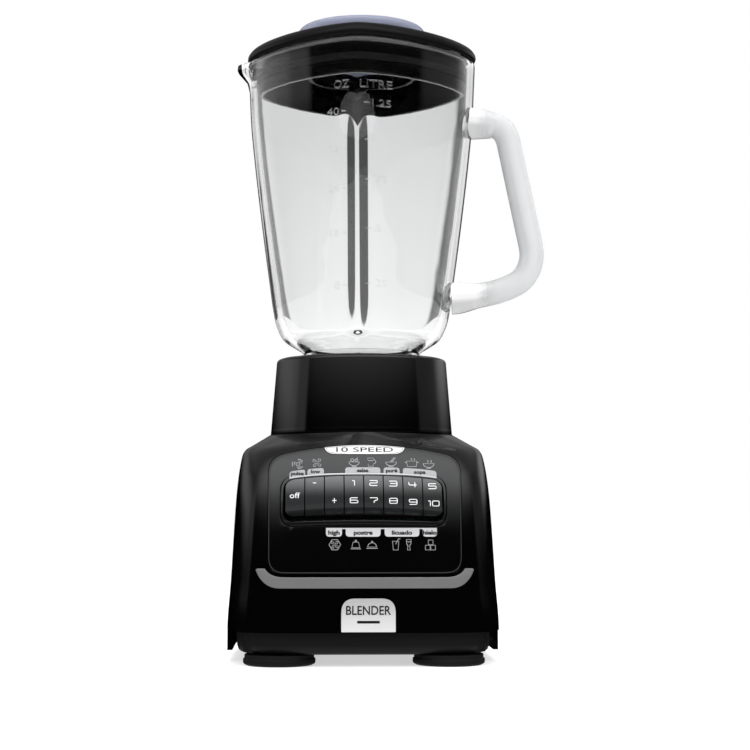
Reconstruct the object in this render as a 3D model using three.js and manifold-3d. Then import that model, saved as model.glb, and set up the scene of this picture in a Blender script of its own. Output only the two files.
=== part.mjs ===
// Countertop blender: a glass jar with its lid and blade unit, on a motor base with eight rocker keys.
// Millimetres, +Z up. The front of the base looks along -Y and the jar's handle points along +X.
// Heights are measured from a datum a little under the feet, and plan positions from the drive axis.
// The finished assembly is then moved to stand on the ground, the middle of its footprint at the origin.

import * as THREE from "three";
import { mergeVertices } from "three/addons/utils/BufferGeometryUtils.js";
import Module from "manifold-3d";

const wasm = await Module();
wasm.setup();

// ---------------------------------------------------------------- driving dimensions

const GAP = 0.35; // clearance between pieces that touch
const WALL = 3; // moulded plastic wall

const AXIS_X = -17.3; // where the drive axis stands, so that the footprint with its handle is centred

// heights
const FOOT_BOTTOM = 2.6;
const FOOT_TOP = 9.3;
const FRONT_SKIRT = 22.2; // the housing's lower edge at the front
const HOUSING_TOP = 137.8;
const SOCKET_FLOOR = 146;
const COLLAR_TOP = 185;
const NECK_BOTTOM = 165.7;
const RIM_TOP = 372;
const SKIRT_BOTTOM = 351; // the lid's plug
const LID_TOP = 386.3; // the lid around its cap
const CAP_TOP = 393.6;

// base
const FOOT_RADIUS = 21;
const FOOT_X = 49.2;
const FOOT_Y = 61;
const SKIRT_START_Y = -38; // the side skirts reach down to the feet behind this
const COLLAR_FOOT_RADIUS = 56.2;
const COLLAR_RIM_RADIUS = 52.3;
const SOCKET_RADIUS = 46.4;
const PILLAR_X = 64;
const PILLAR_Y = 65;

// controls
const KEY_COUNT = 8;
const KEY_PITCH = 11.25;
const KEY_WIDTH = 10.65;
const KEY_TOP = 111.5;
const KEYS_X = -0.9; // the key bank's middle
const KEY_BOTTOM = 89.3;
const KEY_RIDGE_REACH = 88; // how far in front of the drive axis the keys' ridge stands
const KEY_BACK = 70.5;
const PANEL_HALF = 55.7;
const PANEL_TOP = 129.4;
const PANEL_BOTTOM = 55.8;
const FRAME_HALF = 47.6;
const PLATE_WIDTH = 31;
const PLATE_HEIGHT = 19;
const PLATE_OFFSET = 1.8;

// jar
const JAR_TURN = THREE.MathUtils.degToRad(-4); // how the jar is turned in its seat
const NECK_RADIUS = 36;
const NECK_BORE = 31.6;
const RIM_HALF = 71; // from the axis to a corner of the jar
const GLASS = 4.4;
const FLUTE_DEPTH = 7.5;
const FLUTE_WIDTH = 5.2;
const SPOUT_REACH = 7.2;

// drive
const SHAFT_RADIUS = 4;
const SPINDLE_RADIUS = 3.2; // the blade shaft's thin upper end
const DOG_RADIUS = 9.4;
const DOG_LOBE = 1.5;
const DOG_TEETH = 6;
const ROTOR_RADIUS = 21.6;
const STACK_BOTTOM = 66;
const STACK_TOP = 98;

const ROUND = 24; // sides of a large round part
const SMALL_ROUND = 12; // sides of a small one

// ---------------------------------------------------------------- materials

function plastic(color, roughness, extra = {}) {
  return new THREE.MeshStandardMaterial({ color, roughness, metalness: 0, ...extra });
}

function metal(color, roughness) {
  return new THREE.MeshStandardMaterial({ color, roughness, metalness: 1 });
}

const glossBlack = plastic(0x0c0c0d, 0.18);
const satinBlack = plastic(0x1b1b1d, 0.5);
const keyBlack = plastic(0x252829, 0.35);
const panelBlack = plastic(0x101012, 0.12);
const silverTrim = metal(0x8c8c8c, 0.35);
const silverPlate = metal(0xc8c8c8, 0.3);
const rubber = plastic(0x141414, 0.8);
const clearGlass = plastic(0xeef2f2, 0.03, { transparent: true, opacity: 0.35 });
const tintedCap = plastic(0xb9bde0, 0.1, { transparent: true, opacity: 0.6 });
const steel = metal(0xc4c6c8, 0.22);
const laminatedSteel = metal(0x77797c, 0.55);
const castAluminium = metal(0xa9abad, 0.5);
const copper = metal(0xb5673a, 0.4);
const carbon = plastic(0x2a2a2c, 0.7);
const boardGreen = plastic(0x1f5a3a, 0.6);
const phenolic = plastic(0x3a2a20, 0.6);

// ---------------------------------------------------------------- solids

// A closed geometry as a solid that can be cut and joined, whichever way its faces were wound.
function solid(geometry) {
  const loose = geometry.index ? geometry.toNonIndexed() : geometry;
  const bare = new THREE.BufferGeometry().setAttribute("position", loose.getAttribute("position"));
  const merged = mergeVertices(bare, 1e-4);
  const vertProperties = merged.getAttribute("position").array;
  const triVerts = new Uint32Array(merged.index.array);
  const made = new wasm.Manifold(new wasm.Mesh({ numProp: 3, vertProperties, triVerts }));
  if (made.volume() > 0) return made;
  for (let i = 0; i < triVerts.length; i += 3) {
    [triVerts[i + 1], triVerts[i + 2]] = [triVerts[i + 2], triVerts[i + 1]];
  }
  return new wasm.Manifold(new wasm.Mesh({ numProp: 3, vertProperties, triVerts }));
}

function geometryOf(made) {
  const { vertProperties, triVerts, numProp } = made.getMesh();
  const geometry = new THREE.BufferGeometry();
  geometry.setAttribute("position", new THREE.BufferAttribute(new Float32Array(vertProperties), numProp));
  geometry.setIndex(new THREE.BufferAttribute(new Uint32Array(triVerts), 1));
  geometry.computeVertexNormals();
  return geometry;
}

// Cutting and joining leaves slivers, which are cleared away within this distance.
const TIDY = 0.04;

function mesh(name, material, made) {
  const piece = new THREE.Mesh(geometryOf(made.simplify(TIDY)), material);
  piece.name = name;
  return piece;
}

function join(...solids) {
  return solids.reduce((all, next) => all.add(next));
}

// A profile of [radius, height] points turned about the Z axis.
function turned(profile, segments = ROUND) {
  const points = profile.map(([r, z]) => new THREE.Vector2(r, z));
  const onAxis = points[0].x === 0 && points.at(-1).x === 0;
  if (!onAxis) points.push(points[0].clone());
  return solid(new THREE.LatheGeometry(points, segments).rotateX(Math.PI / 2));
}

function cylinder(radius, low, high, x = 0, y = 0, segments = SMALL_ROUND) {
  const geometry = new THREE.CylinderGeometry(radius, radius, high - low, segments);
  return solid(geometry.rotateX(Math.PI / 2).translate(x, y, (low + high) / 2));
}

// A cylinder along Y, for holes and bushes in the rear wall.
function crossCylinder(radius, near, far, x, z, segments = SMALL_ROUND) {
  const geometry = new THREE.CylinderGeometry(radius, radius, far - near, segments);
  return solid(geometry.translate(x, (near + far) / 2, z));
}

function block([x0, y0, z0], [x1, y1, z1]) {
  const geometry = new THREE.BoxGeometry(x1 - x0, y1 - y0, z1 - z0);
  return solid(geometry.translate((x0 + x1) / 2, (y0 + y1) / 2, (z0 + z1) / 2));
}

// A plan outline raised from one height to another.
function raised(shape, low, high, curveSegments = 4) {
  const options = { depth: high - low, bevelEnabled: false, curveSegments };
  return solid(new THREE.ExtrudeGeometry(shape, options).translate(0, 0, low));
}

// An outline drawn in X and Z, carried from one Y to another.
function fronted(shape, near, far, curveSegments = 5) {
  const options = { depth: far - near, bevelEnabled: false, curveSegments };
  return solid(new THREE.ExtrudeGeometry(shape, options).rotateX(Math.PI / 2).translate(0, far, 0));
}

// ---------------------------------------------------------------- outlines

function polygon(points) {
  return new THREE.Shape(points.map(([x, y]) => new THREE.Vector2(x, y)));
}

function roundedBox(x0, y0, x1, y1, radius) {
  const shape = new THREE.Shape();
  shape.moveTo(x0 + radius, y0);
  shape.lineTo(x1 - radius, y0);
  shape.absarc(x1 - radius, y0 + radius, radius, -Math.PI / 2, 0);
  shape.lineTo(x1, y1 - radius);
  shape.absarc(x1 - radius, y1 - radius, radius, 0, Math.PI / 2);
  shape.lineTo(x0 + radius, y1);
  shape.absarc(x0 + radius, y1 - radius, radius, Math.PI / 2, Math.PI);
  shape.lineTo(x0, y0 + radius);
  shape.absarc(x0 + radius, y0 + radius, radius, Math.PI, 1.5 * Math.PI);
  return shape;
}

// A rounded box whose upper and lower edges are bowed upwards in the middle.
function bowedBox({ middle = 0, half, top, bottom, topBow, bottomBow, topRadius, bottomRadius }) {
  const [left, right] = [middle - half, middle + half];
  const [low, high] = [bottom - bottomBow, top - topBow];
  const shoulder = high + 0.25 * topRadius;
  const shape = new THREE.Shape();
  shape.moveTo(left, low + bottomRadius);
  shape.quadraticCurveTo(left, low, left + bottomRadius, low);
  shape.quadraticCurveTo(middle, bottom + bottomBow, right - bottomRadius, low);
  shape.quadraticCurveTo(right, low, right, low + bottomRadius);
  shape.lineTo(right, high - topRadius);
  shape.quadraticCurveTo(right, high, right - topRadius, shoulder);
  shape.quadraticCurveTo(middle, top + 0.8 * topBow, left + topRadius, shoulder);
  shape.quadraticCurveTo(left, high, left, high - topRadius);
  return shape;
}

function panelOutline(grow = 0) {
  return bowedBox({
    half: PANEL_HALF + grow,
    top: PANEL_TOP + grow,
    bottom: PANEL_BOTTOM - grow,
    topBow: 7.2,
    bottomBow: 0,
    topRadius: 9,
    bottomRadius: 9,
  });
}

function frameOutline(grow = 0) {
  return bowedBox({
    middle: KEYS_X,
    half: FRAME_HALF + grow,
    top: KEY_TOP + 1.3 + grow,
    bottom: KEY_BOTTOM - 5.6 - grow,
    topBow: 3.4,
    bottomBow: 0.8,
    topRadius: 7,
    bottomRadius: 8,
  });
}

function keyBankOutline(grow = 0, drop = 0) {
  return bowedBox({
    middle: KEYS_X,
    half: (KEY_COUNT * KEY_PITCH) / 2 + grow,
    top: KEY_TOP + grow,
    bottom: KEY_BOTTOM - grow - drop,
    topBow: 3.2,
    bottomBow: 0.8,
    topRadius: 5,
    bottomRadius: 5,
  });
}

// The badge hanging from the panel's upper edge, a shallow bowl shape that the edge itself cuts off.
function badgeOutline(grow = 0) {
  const half = 23.2 + grow;
  const top = PANEL_TOP + 4;
  const bottom = 124.2 - grow;
  const shape = new THREE.Shape();
  shape.moveTo(-half, top);
  shape.lineTo(-half, PANEL_TOP - 1.6);
  shape.quadraticCurveTo(-half + 1, bottom, -half + 7, bottom);
  shape.lineTo(half - 7, bottom);
  shape.quadraticCurveTo(half - 1, bottom, half, PANEL_TOP - 1.6);
  shape.lineTo(half, top);
  return shape;
}

// The strip that sweeps under the panel and turns up at both ends.
function trimOutline(grow = 0) {
  const low = 47.4 - grow;
  const high = 53.7 + grow;
  const end = 58.6 + grow;
  const tip = 62.6 + grow;
  const shape = new THREE.Shape();
  shape.moveTo(-49, low);
  shape.lineTo(49, low);
  shape.bezierCurveTo(56, low, 60.5, 52, tip, end - 1);
  shape.quadraticCurveTo(tip, end, tip - 2, end);
  shape.lineTo(57.4 - grow, end);
  shape.bezierCurveTo(55.2 - grow, 55.2 + grow, 52, high, 46, high);
  shape.lineTo(-46, high);
  shape.bezierCurveTo(-52, high, -55.2 + grow, 55.2 + grow, -57.4 + grow, end);
  shape.lineTo(-tip + 2, end);
  shape.quadraticCurveTo(-tip, end, -tip, end - 1);
  shape.bezierCurveTo(-60.5, 52, -56, low, -49, low);
  return shape;
}

function plateOutline(grow = 0) {
  const left = PLATE_OFFSET - PLATE_WIDTH / 2 - grow;
  const right = PLATE_OFFSET + PLATE_WIDTH / 2 + grow;
  const low = FRONT_SKIRT + 0.5 - grow;
  const high = FRONT_SKIRT + 0.5 + PLATE_HEIGHT + grow;
  const radius = 6 + grow;
  const shape = new THREE.Shape();
  shape.moveTo(left, low);
  shape.lineTo(right, low);
  shape.lineTo(right, high - radius);
  shape.absarc(right - radius, high - radius, radius, 0, Math.PI / 2);
  shape.lineTo(left + radius, high);
  shape.absarc(left + radius, high - radius, radius, Math.PI / 2, Math.PI);
  return shape;
}

// A wavy ring of lobes, for the drive dog and the socket that it turns.
function lobedOutline(grow) {
  const steps = DOG_TEETH * 6;
  const points = Array.from({ length: steps }, (_, i) => {
    const angle = (2 * Math.PI * i) / steps;
    const radius = DOG_RADIUS + grow + DOG_LOBE * Math.cos(DOG_TEETH * angle);
    return [radius * Math.cos(angle), radius * Math.sin(angle)];
  });
  return polygon(points);
}

// ---------------------------------------------------------------- forms that aren't round in plan

const power = (value, exponent) => Math.sign(value) * Math.abs(value) ** exponent;

// The value at a height in rows that start with their height.
function between(rows, z, column) {
  const upper = rows.findIndex((row) => row[0] >= z);
  if (upper === 0) return rows[0][column];
  if (upper < 0) return rows.at(-1)[column];
  const [a, b] = [rows[upper - 1], rows[upper]];
  return THREE.MathUtils.mapLinear(z, a[0], b[0], a[column], b[column]);
}

// A turned profile whose circles are pressed into another plan: place(angle, radius, z) gives the
// new x and y of each point.
function pressed(profile, segments, place) {
  const points = profile.map(([r, z]) => new THREE.Vector2(r, z));
  const geometry = new THREE.LatheGeometry(points, segments).rotateX(Math.PI / 2);
  const position = geometry.getAttribute("position");
  for (let i = 0; i < position.count; i += 1) {
    const [x, y, z] = [position.getX(i), position.getY(i), position.getZ(i)];
    const radius = Math.hypot(x, y);
    if (radius < 1e-6) continue;
    // The seam's first and last points have to land on the same place.
    const [nearX, nearY] = [x, y].map((value) => (Math.abs(value) < 1e-5 ? 0 : value));
    const [newX, newY] = place(Math.atan2(nearY, nearX), radius, z);
    position.setXYZ(i, newX, newY, z);
  }
  return solid(geometry);
}

// The base's body: height, half width, reach to the front, reach to the rear, squareness of the plan.
const BODY_ROWS = [
  [FOOT_TOP, 80.6, 84.6, 84.6, 5.6],
  [FRONT_SKIRT, 80.6, 84.4, 84.4, 5.6],
  [50, 78.8, 83.2, 83.2, 5.3],
  [80, 77.2, 80.9, 81.2, 5],
  [100, 76, 78.2, 79.6, 4.8],
  [112, 74.9, 75.2, 78, 4.5],
  [120, 73.8, 71.8, 76.4, 4.2],
  [125.2, 72.8, 68.6, 74.4, 3.9],
  [128.6, 70.8, 65.9, 71.8, 3.6],
  [130.4, 68, 64.2, 69, 3.3],
  [HOUSING_TOP, 56.9, 56.9, 56.9, 2],
];
const BODY_SIDES = 36;

// The body's outer form grown by a few millimetres, or shrunk to its inside.
function bodyForm(grow, low = FOOT_TOP, high = HOUSING_TOP + grow) {
  const heights = BODY_ROWS.map((row) => row[0]).filter((z) => z > low + 1 && z < high - 1);
  const profile = [low, ...heights, high].map((z) => [between(BODY_ROWS, z, 1) + grow, z]);
  return pressed([[0, low], ...profile, [0, high]], BODY_SIDES, (angle, radius, z) => {
    const half = between(BODY_ROWS, z, 1) + grow;
    const reach = between(BODY_ROWS, z, angle < 0 ? 2 : 3) + grow;
    const exponent = 2 / between(BODY_ROWS, z, 4);
    const share = radius / half;
    const [across, along] = [power(Math.cos(angle), exponent), power(Math.sin(angle), exponent)];
    return [share * half * across, share * reach * along];
  });
}

// A thin skin of the body's front inside an outline, between two depths measured outwards from its surface.
function frontSkin(outline, outer, inner) {
  const slice = fronted(outline, -96, -40);
  return slice.intersect(bodyForm(outer)).subtract(bodyForm(inner));
}

// The jar's walls in its corner direction: height, half diagonal, squareness.
// A squareness of two is round, and less is a square that stands on its corner.
const JAR_ROWS = [
  [NECK_BOTTOM, NECK_RADIUS, 2],
  [188.6, NECK_RADIUS, 2],
  [191, 39.5, 1.98],
  [197.6, 48.9, 1.9],
  [210, 54, 1.8],
  [235, 57.8, 1.68],
  [273, 62.9, 1.58],
  [311, 67.4, 1.52],
  [335, 69.7, 1.5],
  [357, 70.7, 1.5],
  [369, 71.2, 1.5],
  [RIM_TOP, 70.4, 1.5],
];
const JAR_SIDES = 40;

const smooth = THREE.MathUtils.smoothstep;

// How deep the flute in the front corner is at a height.
function fluteAt(z) {
  return FLUTE_DEPTH * smooth(z, 190, 206) * (1 - smooth(z, 322, 344));
}

function spoutAt(z) {
  return SPOUT_REACH * smooth(z, 357, RIM_TOP - 3);
}

// Places a point of the jar's wall, with a flute down the front corner and the spout at the left one.
function jarPlace(angle, radius, z) {
  const exponent = 2 / between(JAR_ROWS, z, 2);
  let x = radius * power(Math.cos(angle), exponent);
  let y = radius * power(Math.sin(angle), exponent);
  if (y < -radius / 2) y += fluteAt(z) * Math.exp(-((x / FLUTE_WIDTH) ** 2));
  if (x < 0) x -= spoutAt(z) * Math.exp(-((y / 7.5) ** 2));
  return [x, y];
}

// A plain plan with the jar's corners, for the lid.
function cornerPlace(angle, radius) {
  const exponent = 2 / 1.5;
  return [radius * power(Math.cos(angle), exponent), radius * power(Math.sin(angle), exponent)];
}

// ---------------------------------------------------------------- base

const LOUVRES = 5; // in the housing's rear and in the base plate
const LOUVRE_PITCH = 9;
const LOUVRE_GAP = 3;
const CORD_HEIGHT = 34; // the middle of the cord's way out of the rear wall

function keyX(index) {
  return KEYS_X + (index - (KEY_COUNT - 1) / 2) * KEY_PITCH;
}

// Pillars in the housing's corners, which the base's screws go up into.
function corners(make) {
  const places = [-1, 1].flatMap((sx) => [-1, 1].map((sy) => [sx * PILLAR_X, sy * PILLAR_Y]));
  return places.map(([x, y]) => make(x, y));
}

function rearLouvres() {
  const rows = Array.from({ length: LOUVRES }, (_, i) => 64 + LOUVRE_PITCH * i);
  return join(...rows.map((z) => block([-32, 60, z], [32, 90, z + LOUVRE_GAP])));
}

function motorHousing() {
  const inside = bodyForm(-1);
  const pillars = corners((x, y) => cylinder(6.4, 26.4, 62, x, y, 8).intersect(inside));
  const pilots = corners((x, y) => cylinder(2.15, 26, 54, x, y, 8));
  const shell = bodyForm(0).subtract(bodyForm(-WALL, FOOT_TOP - 1, HOUSING_TOP - WALL));
  return join(shell, ...pillars)
    .subtract(join(...pilots))
    .subtract(cylinder(47, 120, 145, 0, 0, ROUND))
    .subtract(block([-100, -100, 0], [100, SKIRT_START_Y, FRONT_SKIRT]))
    .subtract(frontSkin(panelOutline(GAP), 3, -1.75))
    .subtract(fronted(panelOutline(-5), -96, -50))
    .subtract(frontSkin(trimOutline(GAP), 3, -1.3))
    .subtract(frontSkin(plateOutline(GAP), 3, -1.1))
    .subtract(crossCylinder(6.6, 70, 95, 0, CORD_HEIGHT))
    .subtract(rearLouvres());
}

function jarCollar() {
  const fillet = [0, 1, 2].map((i) => {
    const angle = (i * Math.PI) / 4;
    return [COLLAR_RIM_RADIUS - 3.8 + 3.8 * Math.cos(angle), COLLAR_TOP - 3.8 + 3.8 * Math.sin(angle)];
  });
  const profile = [
    [43.6, 130],
    [46.5, 130],
    [46.5, HOUSING_TOP + GAP],
    [COLLAR_FOOT_RADIUS, HOUSING_TOP + GAP],
    [COLLAR_FOOT_RADIUS - 0.3, HOUSING_TOP + 3],
    ...fillet,
    [SOCKET_RADIUS, COLLAR_TOP - 1.6],
    [44.6, SOCKET_FLOOR + 3],
    [42.6, SOCKET_FLOOR],
    [12, SOCKET_FLOOR],
    [12, SOCKET_FLOOR - WALL],
    [43.6, SOCKET_FLOOR - WALL],
  ];
  const posts = [-1, 1].flatMap((sx) =>
    [-1, 1].map((sy) => cylinder(4, 113.2, SOCKET_FLOOR - 1, sx * 30.5, sy * 23.5, 8)),
  );
  return join(turned(profile, 28), ...posts);
}

function basePlate() {
  const tray = (grow, low) => {
    const rows = [
      [70.5, low],
      [73.6, low + 1.2],
      [74.8, low + 4.5],
      [75.2, 26],
    ].map(([half, z]) => [half + grow, z]);
    return pressed([[0, low], ...rows, [0, 26]], 28, (angle, radius) => [
      radius * power(Math.cos(angle), 2 / 6),
      radius * 1.05 * power(Math.sin(angle), 2 / 6),
    ]);
  };
  const whole = tray(0, FOOT_TOP);
  const pillars = corners((x, y) => cylinder(6.2, FOOT_TOP + 1, 26, x, y, 8).intersect(whole));
  const bores = corners((x, y) => cylinder(2.4, 5, 40, x, y, 8));
  const sinks = corners((x, y) => cylinder(4.5, 5, FOOT_TOP + 3.6, x, y, 8));
  const slots = Array.from({ length: LOUVRES }, (_, i) => {
    const near = (i - (LOUVRES - 1) / 2) * LOUVRE_PITCH - LOUVRE_GAP / 2;
    return block([-28, near, 0], [28, near + LOUVRE_GAP, 20]);
  });
  const hollow = tray(-2.4, FOOT_TOP + 2.4).add(block([-40, -40, 20], [40, 40, 40]));
  return join(whole.subtract(hollow), ...pillars)
    .subtract(join(...bores, ...sinks, ...slots));
}

function foot(name, sx, sy) {
  const profile = [
    [0, FOOT_BOTTOM],
    [FOOT_RADIUS - 1.6, FOOT_BOTTOM],
    [FOOT_RADIUS, FOOT_BOTTOM + 1.1],
    [FOOT_RADIUS, FOOT_BOTTOM + 3.6],
    [FOOT_RADIUS - 0.8, FOOT_BOTTOM + 4.2],
    [FOOT_RADIUS - 0.8, FOOT_TOP - GAP],
    [0, FOOT_TOP - GAP],
  ];
  const piece = mesh(name, rubber, turned(profile, 20));
  piece.position.set(sx * FOOT_X, sy * FOOT_Y, 0);
  return piece;
}

function housingScrew(name, sx, sy) {
  const profile = [
    [0, FOOT_TOP + 0.5],
    [3.8, FOOT_TOP + 0.5],
    [3.8, FOOT_TOP + 3.2],
    [1.8, FOOT_TOP + 3.2],
    [1.8, 49],
    [0, 50.5],
  ];
  const piece = mesh(name, steel, turned(profile, 8));
  piece.position.set(sx * PILLAR_X, sy * PILLAR_Y, 0);
  return piece;
}

function panelBadge() {
  return frontSkin(badgeOutline(), 1.3, 0.5).intersect(fronted(panelOutline(0.8), -96, -40));
}

function controlPanel() {
  return frontSkin(panelOutline(), 0.9, -1.4)
    .subtract(fronted(frameOutline(GAP), -96, -40))
    .subtract(frontSkin(badgeOutline(GAP), 3, 0.2));
}

function keyFrame() {
  return frontSkin(frameOutline(), 2.6, -5.5).subtract(fronted(keyBankOutline(0.8, 1.4), -96, -40));
}

// A key's side view: a face that leans out to a ridge near its foot, and turns back under it.
function keySideView(drop) {
  const side = [
    [-KEY_BACK, KEY_TOP + 2],
    [-76.6, KEY_TOP + 2],
    [-77.4, KEY_TOP - 0.4],
    [-81.4, 107.8],
    [-84.4, 103.4],
    [-86.4, 98.8],
    [-KEY_RIDGE_REACH, 94.2],
    [-KEY_RIDGE_REACH + 0.8, 92.8],
    [-83.2, KEY_BOTTOM - 0.2],
    [-81.6, KEY_BOTTOM - 2],
    [-KEY_BACK, KEY_BOTTOM - 2],
  ];
  return polygon(side.map(([y, z]) => [y, z - drop]));
}

function key(index) {
  const x = keyX(index);
  const drop = 2.4 * ((x - KEYS_X) / 45) ** 2;
  const options = { depth: KEY_WIDTH, bevelEnabled: false };
  // The side view is drawn in Y and Z, and carried along X.
  const bar = new THREE.ExtrudeGeometry(keySideView(drop), options)
    .rotateX(Math.PI / 2)
    .rotateZ(Math.PI / 2)
    .translate(x - KEY_WIDTH / 2, 0, 0);
  return solid(bar).intersect(fronted(keyBankOutline(), -96, -40));
}

function switchBlock() {
  const body = block([-43, -66.5, 87], [43, -54, 112]);
  const plungers = Array.from({ length: KEY_COUNT }, (_, i) => {
    const x = keyX(i);
    return block([x - 2.5, -69.4, 97], [x + 2.5, -66, 103]);
  });
  return join(body, ...plungers);
}

// A rubber bush in the rear wall: an outer flange, a neck through the wall and a collar inside it.
function cordGland() {
  const around = (radius, near, far) => crossCylinder(radius, near, far, 0, CORD_HEIGHT, 16);
  const bush = join(around(9, 85.3, 88), around(6.2, 76, 87), around(7.6, 76, 80));
  return bush.subtract(crossCylinder(3.8, 70, 95, 0, CORD_HEIGHT));
}

// ---------------------------------------------------------------- motor

const BOLT_X = 35; // the long bolts through the stator, either side of the shaft
const BOLT_BORE = 2.5;
const BEARING_RADIUS = 8;

function boltHoles(low, high) {
  return join(...[-1, 1].map((sx) => cylinder(BOLT_BORE, low, high, sx * BOLT_X, 0)));
}

// A bridge over one end of the stator: a plate with two legs, a bearing hub and holes for the long
// bolts. Each of plate, leg, hub and seat is a pair of heights.
function bracket({ plate, leg, hub, seat, halfDepth }) {
  const legs = [-1, 1].map((sx) => {
    const outline = roundedBox(sx * BOLT_X - 4.6, -12, sx * BOLT_X + 4.6, 12, 2);
    return raised(outline, ...leg, 2);
  });
  return join(raised(roundedBox(-40, -halfDepth, 40, halfDepth, 6), ...plate, 3), ...legs)
    .add(cylinder(11.5, ...hub))
    .subtract(cylinder(BEARING_RADIUS + GAP, ...seat))
    .subtract(cylinder(SHAFT_RADIUS + 1.5, 20, 130))
    .subtract(boltHoles(20, 130));
}

function lowerBracket() {
  const leg = [37, STACK_BOTTOM - GAP];
  return bracket({ plate: [33, 38], leg, hub: [33, 44], seat: [38.6, 50], halfDepth: 16 });
}

function upperBracket() {
  const leg = [STACK_TOP + GAP, 108];
  return bracket({ plate: [107.6, 112.6], leg, hub: [107.6, 118.6], seat: [112.6, 130], halfDepth: 29.5 });
}

function bearing(low, high) {
  return turned([
    [SHAFT_RADIUS + GAP, low],
    [BEARING_RADIUS, low],
    [BEARING_RADIUS, high],
    [SHAFT_RADIUS + GAP, high],
  ], SMALL_ROUND);
}

// A sector of a ring about the Z axis, centred on +Y or -Y.
function sector(inner, outer, halfAngle, side, low, high) {
  const middle = (side * Math.PI) / 2;
  const shape = new THREE.Shape();
  shape.absarc(0, 0, outer, middle - halfAngle, middle + halfAngle, false);
  shape.absarc(0, 0, inner, middle + halfAngle, middle - halfAngle, true);
  return raised(shape, low, high, 10);
}

function statorCore() {
  const stack = raised(roundedBox(-41, -35, 41, 35, 9), STACK_BOTTOM, STACK_TOP, 4);
  return stack
    .subtract(cylinder(ROTOR_RADIUS + 0.8, 60, 110, 0, 0, ROUND))
    .subtract(sector(18, 30.6, 0.95, 1, 60, 110))
    .subtract(sector(18, 30.6, 0.95, -1, 60, 110))
    .subtract(boltHoles(60, 110));
}

function fieldCoil(side) {
  return sector(23.2, 30, 0.9, side, STACK_BOTTOM - 6, STACK_TOP + 6);
}

function rotorCore() {
  return turned([
    [SHAFT_RADIUS + GAP, 61],
    [13, 61],
    [18.5, 63.5],
    [19.5, STACK_BOTTOM],
    [ROTOR_RADIUS, STACK_BOTTOM],
    [ROTOR_RADIUS, STACK_TOP],
    [19.5, STACK_TOP],
    [16, 102.5],
    [SHAFT_RADIUS + GAP, 102.5],
  ], 24);
}

function commutator() {
  return turned([
    [SHAFT_RADIUS + GAP, 46],
    [11, 46],
    [11, 58],
    [13, 58],
    [13, 60.5],
    [SHAFT_RADIUS + GAP, 60.5],
  ], 20);
}

// A block on one side of the shaft, between two distances from it.
function sideBlock(side, near, far, halfDepth, low, high) {
  const [left, right] = side > 0 ? [near, far] : [-far, -near];
  return block([left, -halfDepth, low], [right, halfDepth, high]);
}

function brushHolder(side) {
  const outer = sideBlock(side, 13.5, 30, 5.5, 47.2, 57);
  const hollow = block([-32, -3.6, 48.8], [32, 3.6, 55.4]);
  const window = block([-40, -2, 50.5], [40, 2, 53.5]);
  return outer.subtract(hollow).subtract(window);
}

function brush(side) {
  return sideBlock(side, 11.5, 27, 3.2, 49.2, 55);
}

function motorBolt(name, sx) {
  const profile = [
    [0, 28.6],
    [4, 28.6],
    [4, 31.6],
    [2.1, 31.6],
    [2.1, 114],
    [0, 114],
  ];
  const piece = mesh(name, steel, turned(profile, 12));
  piece.position.set(sx * BOLT_X, 0, 0);
  return piece;
}

const FAN_VANES = 9;

function coolingFan() {
  const bottom = 119.6;
  const hub = cylinder(9, bottom, 128.5);
  const disc = cylinder(31, bottom, bottom + 1.6, 0, 0, ROUND);
  const vanes = Array.from({ length: FAN_VANES }, (_, i) => {
    const vane = new THREE.BoxGeometry(22, 1.6, 8).translate(19.6, 0, bottom + 4.9);
    return solid(vane.rotateZ((2 * Math.PI * i) / FAN_VANES));
  });
  return join(hub, disc, ...vanes).subtract(cylinder(SHAFT_RADIUS + GAP, 110, 135));
}

function motorShaft() {
  return turned([
    [0, 32.5],
    [SHAFT_RADIUS - 0.6, 32.5],
    [SHAFT_RADIUS, 33.2],
    [SHAFT_RADIUS, 150],
    [0, 150],
  ], SMALL_ROUND);
}

// The dog on the motor shaft: its lobes stand in the jar's socket.
function driveDog() {
  const hub = cylinder(8.4, 137, SOCKET_FLOOR + 1.5);
  return hub
    .add(raised(lobedOutline(0), SOCKET_FLOOR + 1, 153))
    .subtract(cylinder(SHAFT_RADIUS + GAP, 130, 150.4));
}

// ---------------------------------------------------------------- jar and blade unit

const HANDLE_RISE = 126; // the sweep of the grip between its two roots

// The handle's centre line in the plane of the spout and the handle.
function handlePath() {
  const path = new THREE.CurvePath();
  const at = (x, z) => new THREE.Vector3(x, 0, z);
  const topRoot = at(62, RIM_TOP - 37.6);
  const topBend = at(82, RIM_TOP - 39.5);
  const upper = at(92, RIM_TOP - 50);
  const lower = at(105.6, RIM_TOP - 116);
  const lowBend = at(98, RIM_TOP - 138.6);
  const lowRoot = at(50, RIM_TOP - 37.6 - HANDLE_RISE + 14.6);
  path.add(new THREE.LineCurve3(topRoot, topBend));
  path.add(new THREE.QuadraticBezierCurve3(topBend, at(89.5, RIM_TOP - 40.6), upper));
  path.add(new THREE.LineCurve3(upper, lower));
  path.add(new THREE.CubicBezierCurve3(lower, at(107.4, RIM_TOP - 125), at(104, RIM_TOP - 134), lowBend));
  path.add(new THREE.CubicBezierCurve3(lowBend, at(88, RIM_TOP - 145), at(72, RIM_TOP - 148), lowRoot));
  return new THREE.CatmullRomCurve3(path.getSpacedPoints(22), false, "centripetal");
}

function regular(sides, halfWidth, halfDepth = halfWidth) {
  const angles = Array.from({ length: sides }, (_, i) => (2 * Math.PI * i) / sides);
  return polygon(angles.map((angle) => [halfWidth * Math.cos(angle), halfDepth * Math.sin(angle)]));
}

function handle() {
  const options = { steps: 20, bevelEnabled: false, extrudePath: handlePath() };
  return solid(new THREE.ExtrudeGeometry(regular(10, 9, 7.5), options));
}

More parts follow.
